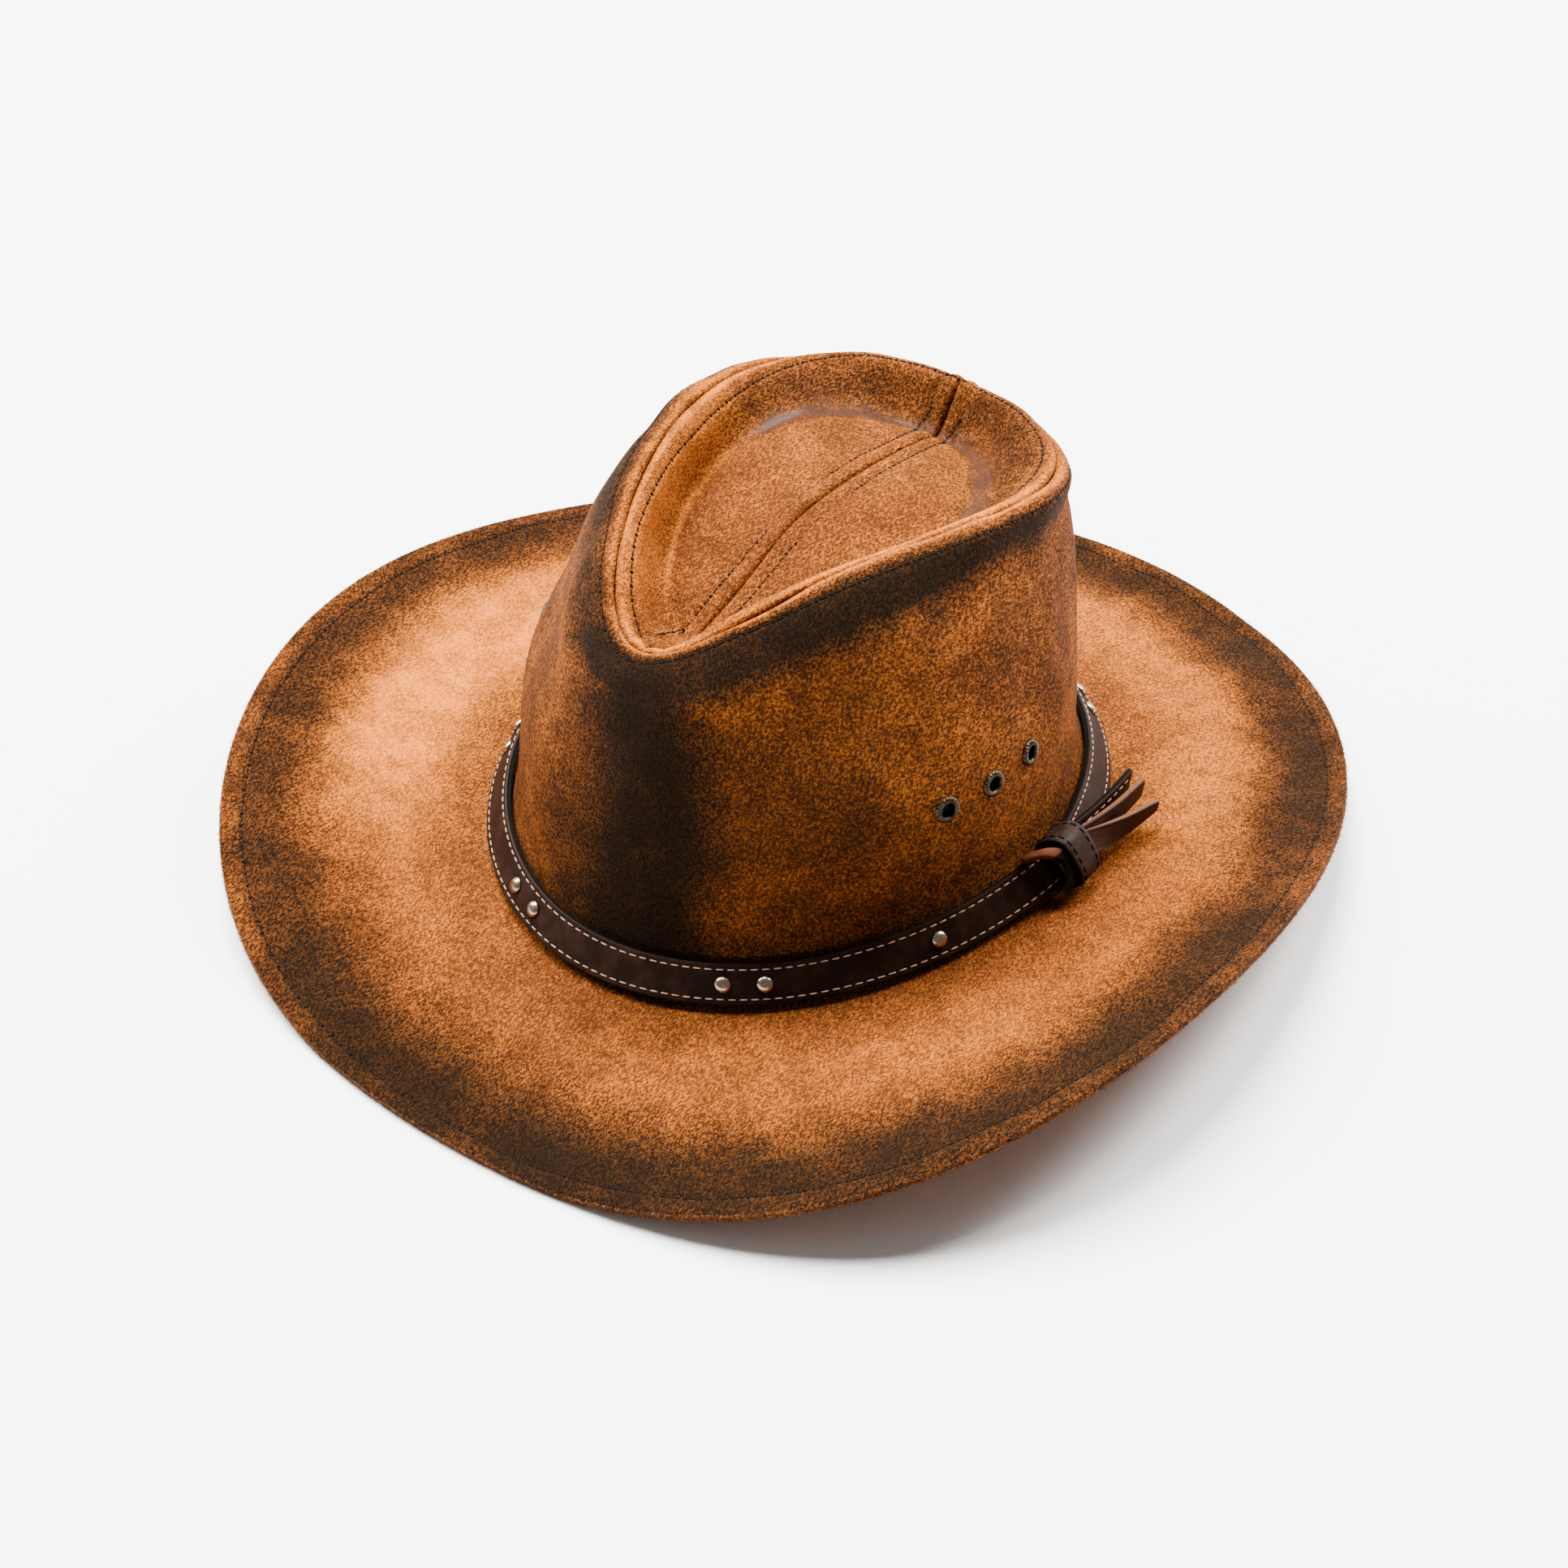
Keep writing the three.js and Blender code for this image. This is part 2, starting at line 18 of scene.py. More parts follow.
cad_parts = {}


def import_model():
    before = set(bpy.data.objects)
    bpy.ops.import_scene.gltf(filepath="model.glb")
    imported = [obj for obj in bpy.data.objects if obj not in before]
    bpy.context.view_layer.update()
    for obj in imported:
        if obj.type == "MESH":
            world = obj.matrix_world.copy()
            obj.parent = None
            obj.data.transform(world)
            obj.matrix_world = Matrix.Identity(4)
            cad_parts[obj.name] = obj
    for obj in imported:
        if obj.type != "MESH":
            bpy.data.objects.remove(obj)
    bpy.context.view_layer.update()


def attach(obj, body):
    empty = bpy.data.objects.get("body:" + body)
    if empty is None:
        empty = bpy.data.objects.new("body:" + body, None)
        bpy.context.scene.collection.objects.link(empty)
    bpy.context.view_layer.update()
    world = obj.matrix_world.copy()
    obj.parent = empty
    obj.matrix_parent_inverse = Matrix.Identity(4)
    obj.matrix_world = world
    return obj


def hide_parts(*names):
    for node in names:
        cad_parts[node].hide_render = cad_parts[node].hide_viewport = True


Array = np.ndarray
Material = bpy.types.Material
Piece = bpy.types.Object
Socket = bpy.types.NodeSocket
Tree = bpy.types.NodeTree
Colour = tuple[float, float, float]
Pair = tuple[float, float]
MM = 0.001
HAT_MIDDLE = Vector((0, 0, 0.06))
log = logging.getLogger("bush_hat")


# Rows of the hat's form, the same as those of its solids


@dataclass(frozen=True)
class CrownRing:
    """One ring of the crown, as shares of half its length, half its width and its height."""

    name: str
    reach: float
    half: float
    shift: float
    taper: float
    round: float
    beak: float
    height: float
    rise: float
    saddle: float
    sway: float
    wave: float
    pinch: float = 0.0
    out: float = 0.0
    drop: float = 0.0


@dataclass(frozen=True)
class BrimWave:
    """One wave of the brim's edge around the hat, as shares of the reach and of the swing."""

    wave: int
    reach: float
    lift: float


CROWN_RINGS = (
    CrownRing("foot", 0.995, 1.017, 0, -0.03, 0, 0, 0.003, 0, -0.03, 0, 0),
    CrownRing("low", 0.965, 0.976, 0, -0.05, -0.07, 0, 0.131, 0, -0.032, 0, 0),
    CrownRing("middle", 0.935, 0.961, 0.017, -0.09, -0.02, -0.005, 0.426, -0.008, -0.033, 0, 0, 0.5),
    CrownRing("pinched", 0.912, 0.834, 0.032, 0, 0.05, -0.015, 0.689, -0.016, -0.041, -0.008, 0, 1),
    CrownRing("shoulder", 0.873, 0.711, 0.017, 0.17, 0.14, -0.026, 0.848, -0.033, -0.051, -0.02, 0.007,
              0.6, 0.4, 1.5),
    CrownRing("outer_row", 0.827, 0.657, 0.035, 0.46, 0.01, -0.028, 0.93, -0.04, -0.053, -0.022, 0.01,
              0, 0.7, 1.7),
    CrownRing("seam", 0.773, 0.578, 0.047, 0.5, 0.16, -0.019, 0.943, -0.043, -0.052, -0.025, 0.003,
              0, 0.85, 1),
    CrownRing("inner_row", 0.752, 0.516, 0.051, 0.55, 0.04, -0.062, 0.92, -0.044, -0.049, -0.023, -0.007,
              0, 0.85, -0.5),
    CrownRing("crease", 0.581, 0.49, 0.09, 0.19, -0.07, 0.015, 0.826, -0.058, -0.031, 0.009, -0.01),
)
OUTER_ROW, SEAM, INNER_ROW, SPINE = 5, 6, 7, 10
FLOOR_ALONG, FLOOR_UP = 0.22, 0.3
SPINE_ALONG = (-0.408, -0.233, -0.078, 0.068, 0.291, 0.505)
SPINE_HEIGHT = (0.749, 0.811, 0.868, 0.897, 0.895, 0.877)
BRIM_WAVES = (
    BrimWave(0, 1, 0.128),
    BrimWave(1, 0.025, 0.052),
    BrimWave(2, -0.006, -1),
    BrimWave(3, -0.055, -0.22),
    BrimWave(4, -0.034, 0.065),
    BrimWave(5, 0, 0.075),
)
RIVET_ANGLES = (-66.5, -60.5, -23.5, -16, 28.5, 36, 67, 143, 150, 196, 203, 248, 255)
EYELET_ANGLES = (70.5, 81.5, 92.5)
EYELET_LEVEL = 1.93


class Side(Enum):
    """The two halves of the hat, by the sign of X."""

    LEFT = 1
    RIGHT = -1


def smooth(value: Array, low: float, high: float) -> Array:
    """A soft step from 0 at low to 1 at high, which may also lie below low."""
    share = np.clip((value - low) / (high - low), 0, 1)
    return share * share * (3 - 2 * share)


def bell(value: Array, middle: float, width: float) -> Array:
    """A soft bump of height 1 at the middle, sunk to about a third a width away from it."""
    return np.exp(-(((value - middle) / width) ** 2))


def soft_waves(points: Array, length: float, height: float, seed: int) -> Array:
    """Uneven waves in space, for leather that isn't quite smooth.

    Args:
        points: places in mm.
        length: mean wavelength in mm.
        height: usual height of the waves.
        seed: which waves.

    Returns:
        The height at each place.
    """
    random = np.random.default_rng(seed)
    total = np.zeros(points.shape[:-1])
    waves = 9
    for _ in range(waves):
        direction = random.normal(size=3)
        direction *= 2 * math.pi / (length * random.uniform(0.6, 1.5)) / np.linalg.norm(direction)
        total += np.sin(points @ direction + random.uniform(0, 2 * math.pi))
    return height * total / math.sqrt(waves / 2)


def full_turn(count: int) -> Array:
    """Evenly spaced angles all the way round."""
    return np.linspace(0, 2 * math.pi, count, endpoint=False)


def from_behind(angle: Array) -> Array:
    """Angles from the front in degrees, between -180 and 180 with both at the back."""
    return np.degrees((angle + math.pi) % (2 * math.pi) - math.pi)


def unit(vectors: Array) -> Array:
    """The vectors at length 1."""
    return vectors / np.linalg.norm(vectors, axis=-1, keepdims=True)


def through(knots: Array, position: Array) -> Array:
    """Places on centripetal curves through knots.

    Args:
        knots: the knots of each curve, (count, n, 3).
        position: how far along each curve, in knots, (n,).

    Returns:
        One place per curve, (n, 3).
    """
    padded = np.concatenate([2 * knots[:1] - knots[1:2], knots, 2 * knots[-1:] - knots[-2:-1]])
    start = np.clip(np.floor(position).astype(int), 0, len(knots) - 2)
    share = (position - start)[:, None]
    curve = np.arange(len(start))
    before, low, high, after = (padded[start + step, curve] for step in range(4))

    def pace(a: Array, b: Array) -> Array:
        """The time that the curve takes between two knots."""
        return np.linalg.norm(b - a, axis=-1, keepdims=True) ** 0.5 + 1e-6

    first, middle, last = pace(before, low), pace(low, high), pace(high, after)
    leave = (low - before) / first - (high - before) / (first + middle) + (high - low) / middle
    arrive = (high - low) / middle - (after - low) / (middle + last) + (after - high) / last
    leave, arrive = leave * middle, arrive * middle
    square, cube = share**2, share**3
    return (
        (2 * cube - 3 * square + 1) * low
        + (cube - 2 * square + share) * leave
        + (3 * square - 2 * cube) * high
        + (cube - square) * arrive
    )


@dataclass(frozen=True)
class HatForm:
    """The hat's outer surfaces, worked out from the same sizes as its solids."""

    crown_length: float = 201.0
    crown_width: float = 175.6
    crown_height: float = 119.0
    crown_leather: float = 2.2
    pinch_depth: float = 8.8
    pinch_angle: float = 0.84
    pinch_spread: float = 0.42
    ridge_roll: float = 5.8
    brim_reach: float = 83.0
    brim_swing: float = 18.4
    brim_leather: float = 3.0
    brim_bow: float = 0.5
    rest_flat: float = 2.6
    strap_width: float = 12.4
    strap_leather: float = 2.4
    strap_slant: float = 0.58
    strap_lift: float = 1.2
    keeper_angle: float = math.radians(95)
    keeper_length: float = 11.5
    keeper_leather: float = 1.6
    keeper_ease: float = 1.1
    wrap_length: float = 5.0
    strap_end_length: float = 37.0
    strap_end_leather: float = 1.8
    strap_end_lift: float = 2.0
    strap_end_twist: float = 0.74
    strap_end_twist_run: float = 0.35
    clearance: float = 0.3

    def ring(self, row: CrownRing, angle: Array) -> Array:
        """Places on one ring of the crown.

        Args:
            row: the ring.
            angle: angles from the front towards the wearer's left, (n,).

        Returns:
            The places, (n, 3).
        """
        cos, sin = np.cos(angle), np.sin(angle)
        back = np.maximum(0, -cos) ** 4 * self.ridge_roll
        skew = 1 - row.taper * cos + row.round * cos**2
        bend = (
            row.height
            + row.rise * cos
            + row.saddle * np.cos(2 * angle)
            + row.sway * np.cos(3 * angle)
            + row.wave * np.cos(4 * angle)
        )
        along = row.shift - row.reach * (cos + row.beak * np.cos(3 * angle))
        off = (self.from_front(angle) - self.pinch_angle) / self.pinch_spread
        dent = self.pinch_depth * row.pinch * np.exp(-(off**2))
        return np.stack(
            [
                self.crown_width / 2 * row.half * sin * skew - dent * sin,
                self.crown_length / 2 * along + row.out * back + dent * cos,
                self.crown_height * bend - row.drop * back,
            ],
            axis=-1,
        )

    @staticmethod
    def from_front(angle: Array) -> Array:
        """Angles brought to between 0 at the front and pi at the back."""
        return np.arccos(np.clip(np.cos(angle), -1, 1))

    def spine(self, angle: Array) -> Array:
        """Places on the centre line of the top, where the lines at these angles meet it."""
        knots = np.zeros((len(SPINE_ALONG), len(angle), 3))
        knots[:, :, 1] = np.array(SPINE_ALONG)[:, None] * self.crown_length / 2
        knots[:, :, 2] = np.array(SPINE_HEIGHT)[:, None] * self.crown_height
        return through(knots, self.from_front(angle) / math.pi * (len(SPINE_ALONG) - 1))

    def crown(self, angle: Array, level: Array) -> Array:
        """Places on the crown's outer face.

        Args:
            angle: angles from the front towards the wearer's left.
            level: rows of the crown table, with fractions between.

        Returns:
            The places, with a last axis of three.
        """
        angle, level = np.broadcast_arrays(np.asarray(angle, float), np.asarray(level, float))
        flat = angle.ravel()
        rings = [self.ring(row, flat) for row in CROWN_RINGS]
        spine = self.spine(flat)
        floor = rings[-1] + (spine - rings[-1]) * FLOOR_ALONG
        floor[:, 2] = rings[-1][:, 2] + (spine[:, 2] - rings[-1][:, 2]) * FLOOR_UP
        knots = np.stack([*rings, floor, spine])
        return through(knots, level.ravel()).reshape(*angle.shape, 3)

    def crown_normal(self, angle: Array, level: Array) -> Array:
        """The directions out of the crown's outer face."""
        step = 0.01
        low, high = np.maximum(level - step, 0), np.minimum(level + step, SPINE)
        up = self.crown(angle, high) - self.crown(angle, low)
        around = self.crown(angle + step, level) - self.crown(angle - step, level)
        return unit(np.cross(around, up))

    def brim(self, angle: Array, share: Array) -> Array:
        """Places on the brim's upper face.

        Args:
            angle: angles from the front towards the wearer's left.
            share: 0 at the crown's inside to 1 at the edge.

        Returns:
            The places, with a last axis of three.
        """
        angle, share = np.broadcast_arrays(np.asarray(angle, float), np.asarray(share, float))
        foot = CROWN_RINGS[0]
        out = np.stack([np.sin(angle), -np.cos(angle), np.zeros(angle.shape)], axis=-1)
        start = self.ring(foot, angle) - out * self.crown_leather
        start[..., 2] -= self.clearance + foot.height * self.crown_height
        reach = sum(row.reach * np.cos(row.wave * angle) for row in BRIM_WAVES)
        lift = sum(row.lift * np.cos(row.wave * angle) for row in BRIM_WAVES)
        reach = self.crown_leather + self.brim_reach * reach
        bow = (1 - self.brim_bow) * share + self.brim_bow * share**2
        point = start + out * (reach * share)[..., None]
        point[..., 2] = start[..., 2] + (self.brim_swing * lift - start[..., 2]) * bow
        return point

    def brim_normal(self, angle: Array, share: Array) -> Array:
        """The directions out of the brim's upper face."""
        step = 0.01
        out = self.brim(angle, share + step) - self.brim(angle, share - step)
        around = self.brim(angle + step, share) - self.brim(angle - step, share)
        return unit(np.cross(out, around))

    def band(self, angle: Array) -> tuple[Array, Array, Array]:
        """The strap band at some angles.

        Args:
            angle: angles from the front towards the wearer's left, (n,).

        Returns:
            The middle of its outer face, the direction across it and the direction out of it.
        """
        start = self.brim(angle, 0 * angle)
        slant_cos, slant_sin = math.cos(self.strap_slant), math.sin(self.strap_slant)
        share = (self.crown_leather + self.strap_width * slant_sin) / self.brim_reach
        rise = np.maximum(0, self.brim(angle, share + 0 * angle)[:, 2] - start[:, 2])
        height = start[:, 2] + self.strap_lift + self.strap_leather * slant_sin + rise
        height = height + self.strap_width * slant_cos
        level = 0.8 + 0 * angle
        for _ in range(4):
            slope = (self.crown(angle, level + 0.05) - self.crown(angle, level - 0.05))[:, 2] / 0.1
            level = level + (height - self.crown(angle, level)[:, 2]) / slope
        out = np.stack([np.sin(angle), -np.cos(angle), 0 * angle], axis=-1)
        up = np.array([0.0, 0.0, 1.0])
        across = -slant_sin * out + slant_cos * up
        normal = slant_cos * out + slant_sin * up
        spread = 1.6 * self.keeper_length / (self.crown_length / 2)
        turn = (angle - self.keeper_angle + math.pi) % (2 * math.pi) - math.pi
        room = (np.exp(-((turn / spread) ** 2)) * self.keeper_room())[:, None]
        thickness = self.strap_leather / slant_cos
        middle = self.crown(angle, level) + out * (self.clearance + thickness + room) + up * room
        return middle - across * self.strap_width / 2, across, normal

    def keeper_room(self) -> float:
        """Room for the keeper behind and under the band."""
        return self.keeper_leather + self.keeper_ease + self.clearance

    def keeper_depth(self) -> float:
        """Room inside the keeper, for the band and three strap ends."""
        layers = 3
        ends = layers * (self.strap_end_leather + self.clearance)
        return self.strap_leather + ends + 2 * self.keeper_ease

    def strap_frame(self, angle: float) -> tuple[Array, Array, Array, Array]:
        """The band at one angle.

        Args:
            angle: the angle from the front towards the wearer's left.

        Returns:
            Its middle, the direction along it, the one across it and the one out of it.
        """
        step = 0.02
        middle, across, _ = self.band(np.array([angle - step, angle, angle + step]))
        along = unit(middle[2] - middle[0])
        normal = unit(np.cross(along, across[1]))
        return middle[1], along, unit(np.cross(normal, along)), normal

    def settling(self) -> Array:
        """The move that sets the hat down on its brim, as a 4 by 4 matrix in mm."""
        ends = self.brim(np.array([0.0, math.pi]), np.array([1.0, 1.0]))
        rise, run = ends[0, 2] - ends[1, 2], ends[1, 1] - ends[0, 1]
        tilt = math.atan2(rise, run)
        matrix = np.eye(4)
        matrix[1:3, 1:3] = [[math.cos(tilt), -math.sin(tilt)], [math.sin(tilt), math.cos(tilt)]]
        ends = ends @ matrix[:3, :3].T
        matrix[1, 3] = -(ends[0, 1] + ends[1, 1]) / 2
        matrix[2, 3] = self.brim_leather - self.rest_flat - ends[0, 2]
        return matrix

    def settle(self, points: Array) -> Array:
        """Places moved to where the hat rests, still in mm."""
        matrix = self.settling()
        return points @ matrix[:3, :3].T + matrix[:3, 3]

    def pressed(self, top: Array, under: Array) -> tuple[Array, Array]:
        """Settles both faces of the brim and presses it flat where it meets the floor.

        Args:
            top: places on the upper face.
            under: places on the underside that lie below them.

        Returns:
            The settled upper and lower places.
        """
        top, under = self.settle(top), self.settle(under)
        press = np.maximum(0, -under[..., 2])
        top[..., 2] += press
        under[..., 2] += press
        return top, under


# Making of meshes

# How near doubled points are, in metres
DOUBLED = 2e-6


def add_object(name: str, data: bpy.types.ID) -> Piece:
    """Adds an object for a mesh, a light or a camera."""
    item = bpy.data.objects.new(name, data)
    bpy.context.scene.collection.objects.link(item)
    return item


def lay_faces(name: str, corners: Array, faces: list, soft: bool = False) -> Piece:
    """Adds a piece made of given faces.

    Args:
        name: the piece's name.
        corners: settled places in mm, with a last axis of three.
        faces: the numbers of each face's corners.
        soft: whether it is shaded smooth.

    Returns:
        The new piece.
    """
    mesh = bpy.data.meshes.new(name)
    mesh.from_pydata((corners.reshape(-1, 3) * MM).tolist(), [], faces)
    if soft:
        mesh.polygons.foreach_set("use_smooth", np.ones(len(faces), dtype=bool))
    mesh.update()
    return add_object(name, mesh)


def bearing(azimuth: float, elevation: float) -> Vector:
    """The way from the hat to a place around it.

    Args:
        azimuth: degrees from the front towards the wearer's left.
        elevation: degrees up from the floor.

    Returns:
        The direction, at length 1.
    """
    turn, rise = math.radians(azimuth), math.radians(elevation)
    return Vector((math.sin(turn) * math.cos(rise), -math.cos(turn) * math.cos(rise), math.sin(rise)))


def deselect() -> None:
    """Leaves nothing selected, so that the next operator acts on its own piece."""
    if bpy.context.mode != "OBJECT":
        bpy.ops.object.mode_set(mode="OBJECT")
    bpy.ops.object.select_all(action="DESELECT")


def choose(*pieces: Piece) -> None:
    """Selects some pieces alone and makes the first one active."""
    deselect()
    for piece in pieces:
        piece.select_set(True)
    bpy.context.view_layer.objects.active = pieces[0]


def tidy(piece: Piece, gap: float = DOUBLED) -> Piece:
    """Joins doubled points, turns the faces outward and smooths the piece.

    Args:
        piece: a closed mesh object.
        gap: how near doubled points are, in metres.

    Returns:
        The same piece.
    """
    choose(piece)
    bpy.ops.object.mode_set(mode="EDIT")
    bpy.ops.mesh.select_all(action="SELECT")
    bpy.ops.mesh.remove_doubles(threshold=gap)
    bpy.ops.mesh.normals_make_consistent(inside=False)
    bpy.ops.object.mode_set(mode="OBJECT")
    bpy.ops.object.shade_smooth()
    return piece


def lay_grid(name: str, lines: Array, masks: dict[str, Array] | None = None,
             gap: float = DOUBLED) -> Piece:
    """Adds a grid and moves its points onto the lines of a closed skin.

    Args:
        name: the piece's name.
        lines: settled places in mm, one line of places per row, (rows, columns, 3).
        masks: values from 0 to 1 to keep on the points, each (rows, columns).
        gap: how near doubled points are.

    Returns:
        The new piece.
    """
    rows, columns = lines.shape[:2]
    deselect()
    bpy.ops.mesh.primitive_grid_add(x_subdivisions=columns - 1, y_subdivisions=rows - 1, size=1)
    piece = bpy.context.object
    piece.name = name
    piece.data.name = name
    piece.data.vertices.foreach_set("co", (lines * MM).ravel())
    for mask, values in (masks or {}).items():
        layer = piece.data.attributes.new(mask, "FLOAT", "POINT")
        layer.data.foreach_set("value", np.ascontiguousarray(values, dtype=np.float32).ravel())
    piece.data.update()
    return tidy(piece, gap)


def skin_closed(lines: Array) -> Array:
    """The lines with the first row repeated at the end, for a section that closes."""
    return np.concatenate([lines, lines[:1]], axis=0)


def tube_closed(lines: Array) -> Array:
    """The lines with the first row and column repeated, for a closed section that goes right round."""
    lines = skin_closed(lines)
    return np.concatenate([lines, lines[:, :1]], axis=1)


def suede_masks(spray: Array, pale: Array) -> dict[str, Array]:
    """The masks of a suede skin that goes right round and isn't burnished anywhere."""
    return {
        "spray": tube_closed(spray),
        "burnish": tube_closed(0 * spray),
        "pale": tube_closed(pale),
    }


def ends_folded(lines: Array) -> Array:
    """The lines with both end sections folded onto their middle line, which closes them.

    Args:
        lines: rows of an outer face, followed by as many rows of the inner one in reverse.

    Returns:
        The lines with one more column at each end.
    """
    folded = (lines + lines[::-1]) / 2
    return np.concatenate([folded[:, :1], lines, folded[:, -1:]], axis=1)


def evened(path: Array, reach: int = 16) -> Array:
    """A path with its sharp bends rounded.

    Args:
        path: places close together, (n, 3).
        reach: how many places to each side are averaged.

    Returns:
        The rounded path, just as long.
    """
    padded = np.concatenate([np.repeat(path[:1], reach, axis=0), path, np.repeat(path[-1:], reach, axis=0)])
    weights = np.hanning(2 * reach + 3)[1:-1]
    weights /= weights.sum()
    return np.stack([np.convolve(padded[:, axis], weights, mode="valid") for axis in range(3)], axis=-1)


def frames_along(path: Array, normal: Array, pitch: float, closed: bool) -> Array:
    """Evenly spaced places along a path, each with its directions.

    Args:
        path: places in mm, close together, (n, 3).
        normal: the direction out of the surface at each of them, (n, 3).
        pitch: the wanted distance between places.
        closed: whether the path runs back into its start.

    Returns:
        4 by 4 matrices with X along the path and Z out of the surface, (count, 4, 4).
    """
    if closed:
        path, normal = np.concatenate([path, path[:1]]), np.concatenate([normal, normal[:1]])
    travel = np.concatenate([[0], np.cumsum(np.linalg.norm(np.diff(path, axis=0), axis=1))])
    count = max(2, round(travel[-1] / pitch))
    stops = (np.arange(count) + 0.5) * travel[-1] / count

    def at(values: Array, where: Array) -> Array:
        """The values of a column list at some distances."""
        return np.stack([np.interp(where, travel, values[:, axis]) for axis in range(3)], axis=-1)

    half = travel[-1] / count * 0.3
    along = unit(at(path, stops + half) - at(path, stops - half))
    out = at(normal, stops)
    out = unit(out - (out * along).sum(-1, keepdims=True) * along)
    frames = np.tile(np.eye(4), (count, 1, 1))
    frames[:, :3, 0] = along
    frames[:, :3, 1] = np.cross(out, along)
    frames[:, :3, 2] = out
    frames[:, :3, 3] = at(path, stops)
    return frames


def frame_at(point: Array, along: Array, normal: Array) -> Array:
    """One frame on a surface.

    Args:
        point: its place.
        along: the direction that X keeps near.
        normal: the direction out of the surface, for Z.

    Returns:
        A 4 by 4 matrix.
    """
    normal = unit(normal)
    along = unit(along - normal * (along @ normal))
    frame = np.eye(4)
    frame[:3, 0], frame[:3, 1], frame[:3, 2] = along, np.cross(normal, along), normal
    frame[:3, 3] = point
    return frame


def set_copies(name: str, model: Piece, frames: Array) -> Piece:
    """Makes one piece of a model repeated at many places.

    Args:
        name: the new piece's name.
        model: a small object modelled in mm around the origin.
        frames: where the copies go, 4 by 4 matrices in settled mm.

    Returns:
        The new piece.
    """
    corners = np.array([vertex.co for vertex in model.data.vertices])
    faces = [tuple(face.vertices) for face in model.data.polygons]
    moved = np.einsum("nij,vj->nvi", frames[:, :3, :3], corners) + frames[:, None, :3, 3]
    every = [
        tuple(corner + copy * len(corners) for corner in face)
        for copy in range(len(frames))
        for face in faces
    ]
    return lay_faces(name, moved, every, soft=True)


# A stitch: where it is cut to bend, how thin its ends get and how far it stands out, as shares
STITCH_CUTS = (-0.42, -0.25, 0, 0.25, 0.42)
STITCH_TAPER = 0.45
STITCH_LIFT = 0.12
# A needle hole, in mm: its radius, its depth and how far its rim stands out
HOLE_RADIUS = 0.62
HOLE_DEPTH = 0.3
HOLE_RIM = 0.08
# How far the middle of a sewn thread stands from the leather, in mm
THREAD_RAISE = 0.08


def discard(model: Piece) -> None:
    """Removes a model once its copies are made."""
    bpy.data.meshes.remove(model.data)


def model_stitch(length: float, thickness: float, sink: float) -> Piece:
    """Models one stitch: a short thread whose ends dip into the leather.

    Args:
        length: length of the thread that shows, in mm.
        thickness: its diameter in mm.
        sink: how far its ends dip, in mm.

    Returns:
        The model around the origin, along X.
    """
    deselect()
    bpy.ops.mesh.primitive_cylinder_add(vertices=6, radius=thickness / 2, depth=length,
                                        rotation=(0, math.pi / 2, 0))
    bpy.ops.object.transform_apply(location=False, rotation=True, scale=False)
    model = bpy.context.object
    bpy.ops.object.mode_set(mode="EDIT")
    for cut in STITCH_CUTS:
        bpy.ops.mesh.select_all(action="SELECT")
        bpy.ops.mesh.bisect(plane_co=(cut * length, 0, 0), plane_no=(1, 0, 0))
    bpy.ops.object.mode_set(mode="OBJECT")
    for vertex in model.data.vertices:
        share = abs(vertex.co.x) / (length / 2)
        slim = 1 - STITCH_TAPER * share**4
        vertex.co.y *= slim
        vertex.co.z = vertex.co.z * slim - sink * share**3 + thickness * STITCH_LIFT
    return model


def model_hole() -> Piece:
    """Models one needle hole: a small cup that lies in the leather, in mm, whose near-black material paints
    the shade inside the hole.
    """
    deselect()
    bpy.ops.mesh.primitive_circle_add(vertices=10, radius=HOLE_RADIUS, fill_type="TRIFAN")
    model = bpy.context.object
    bpy.ops.object.mode_set(mode="EDIT")
    bpy.ops.mesh.select_all(action="SELECT")
    bpy.ops.mesh.extrude_region_move(TRANSFORM_OT_translate={"value": (0, 0, -HOLE_DEPTH)})
    bpy.ops.object.mode_set(mode="OBJECT")
    for vertex in model.data.vertices:
        vertex.co.z += HOLE_RIM
    return model


# Materials


class Rise(Enum):
    """The form of a step from one value to another."""

    SOFT = "SMOOTHSTEP"
    EVEN = "LINEAR"


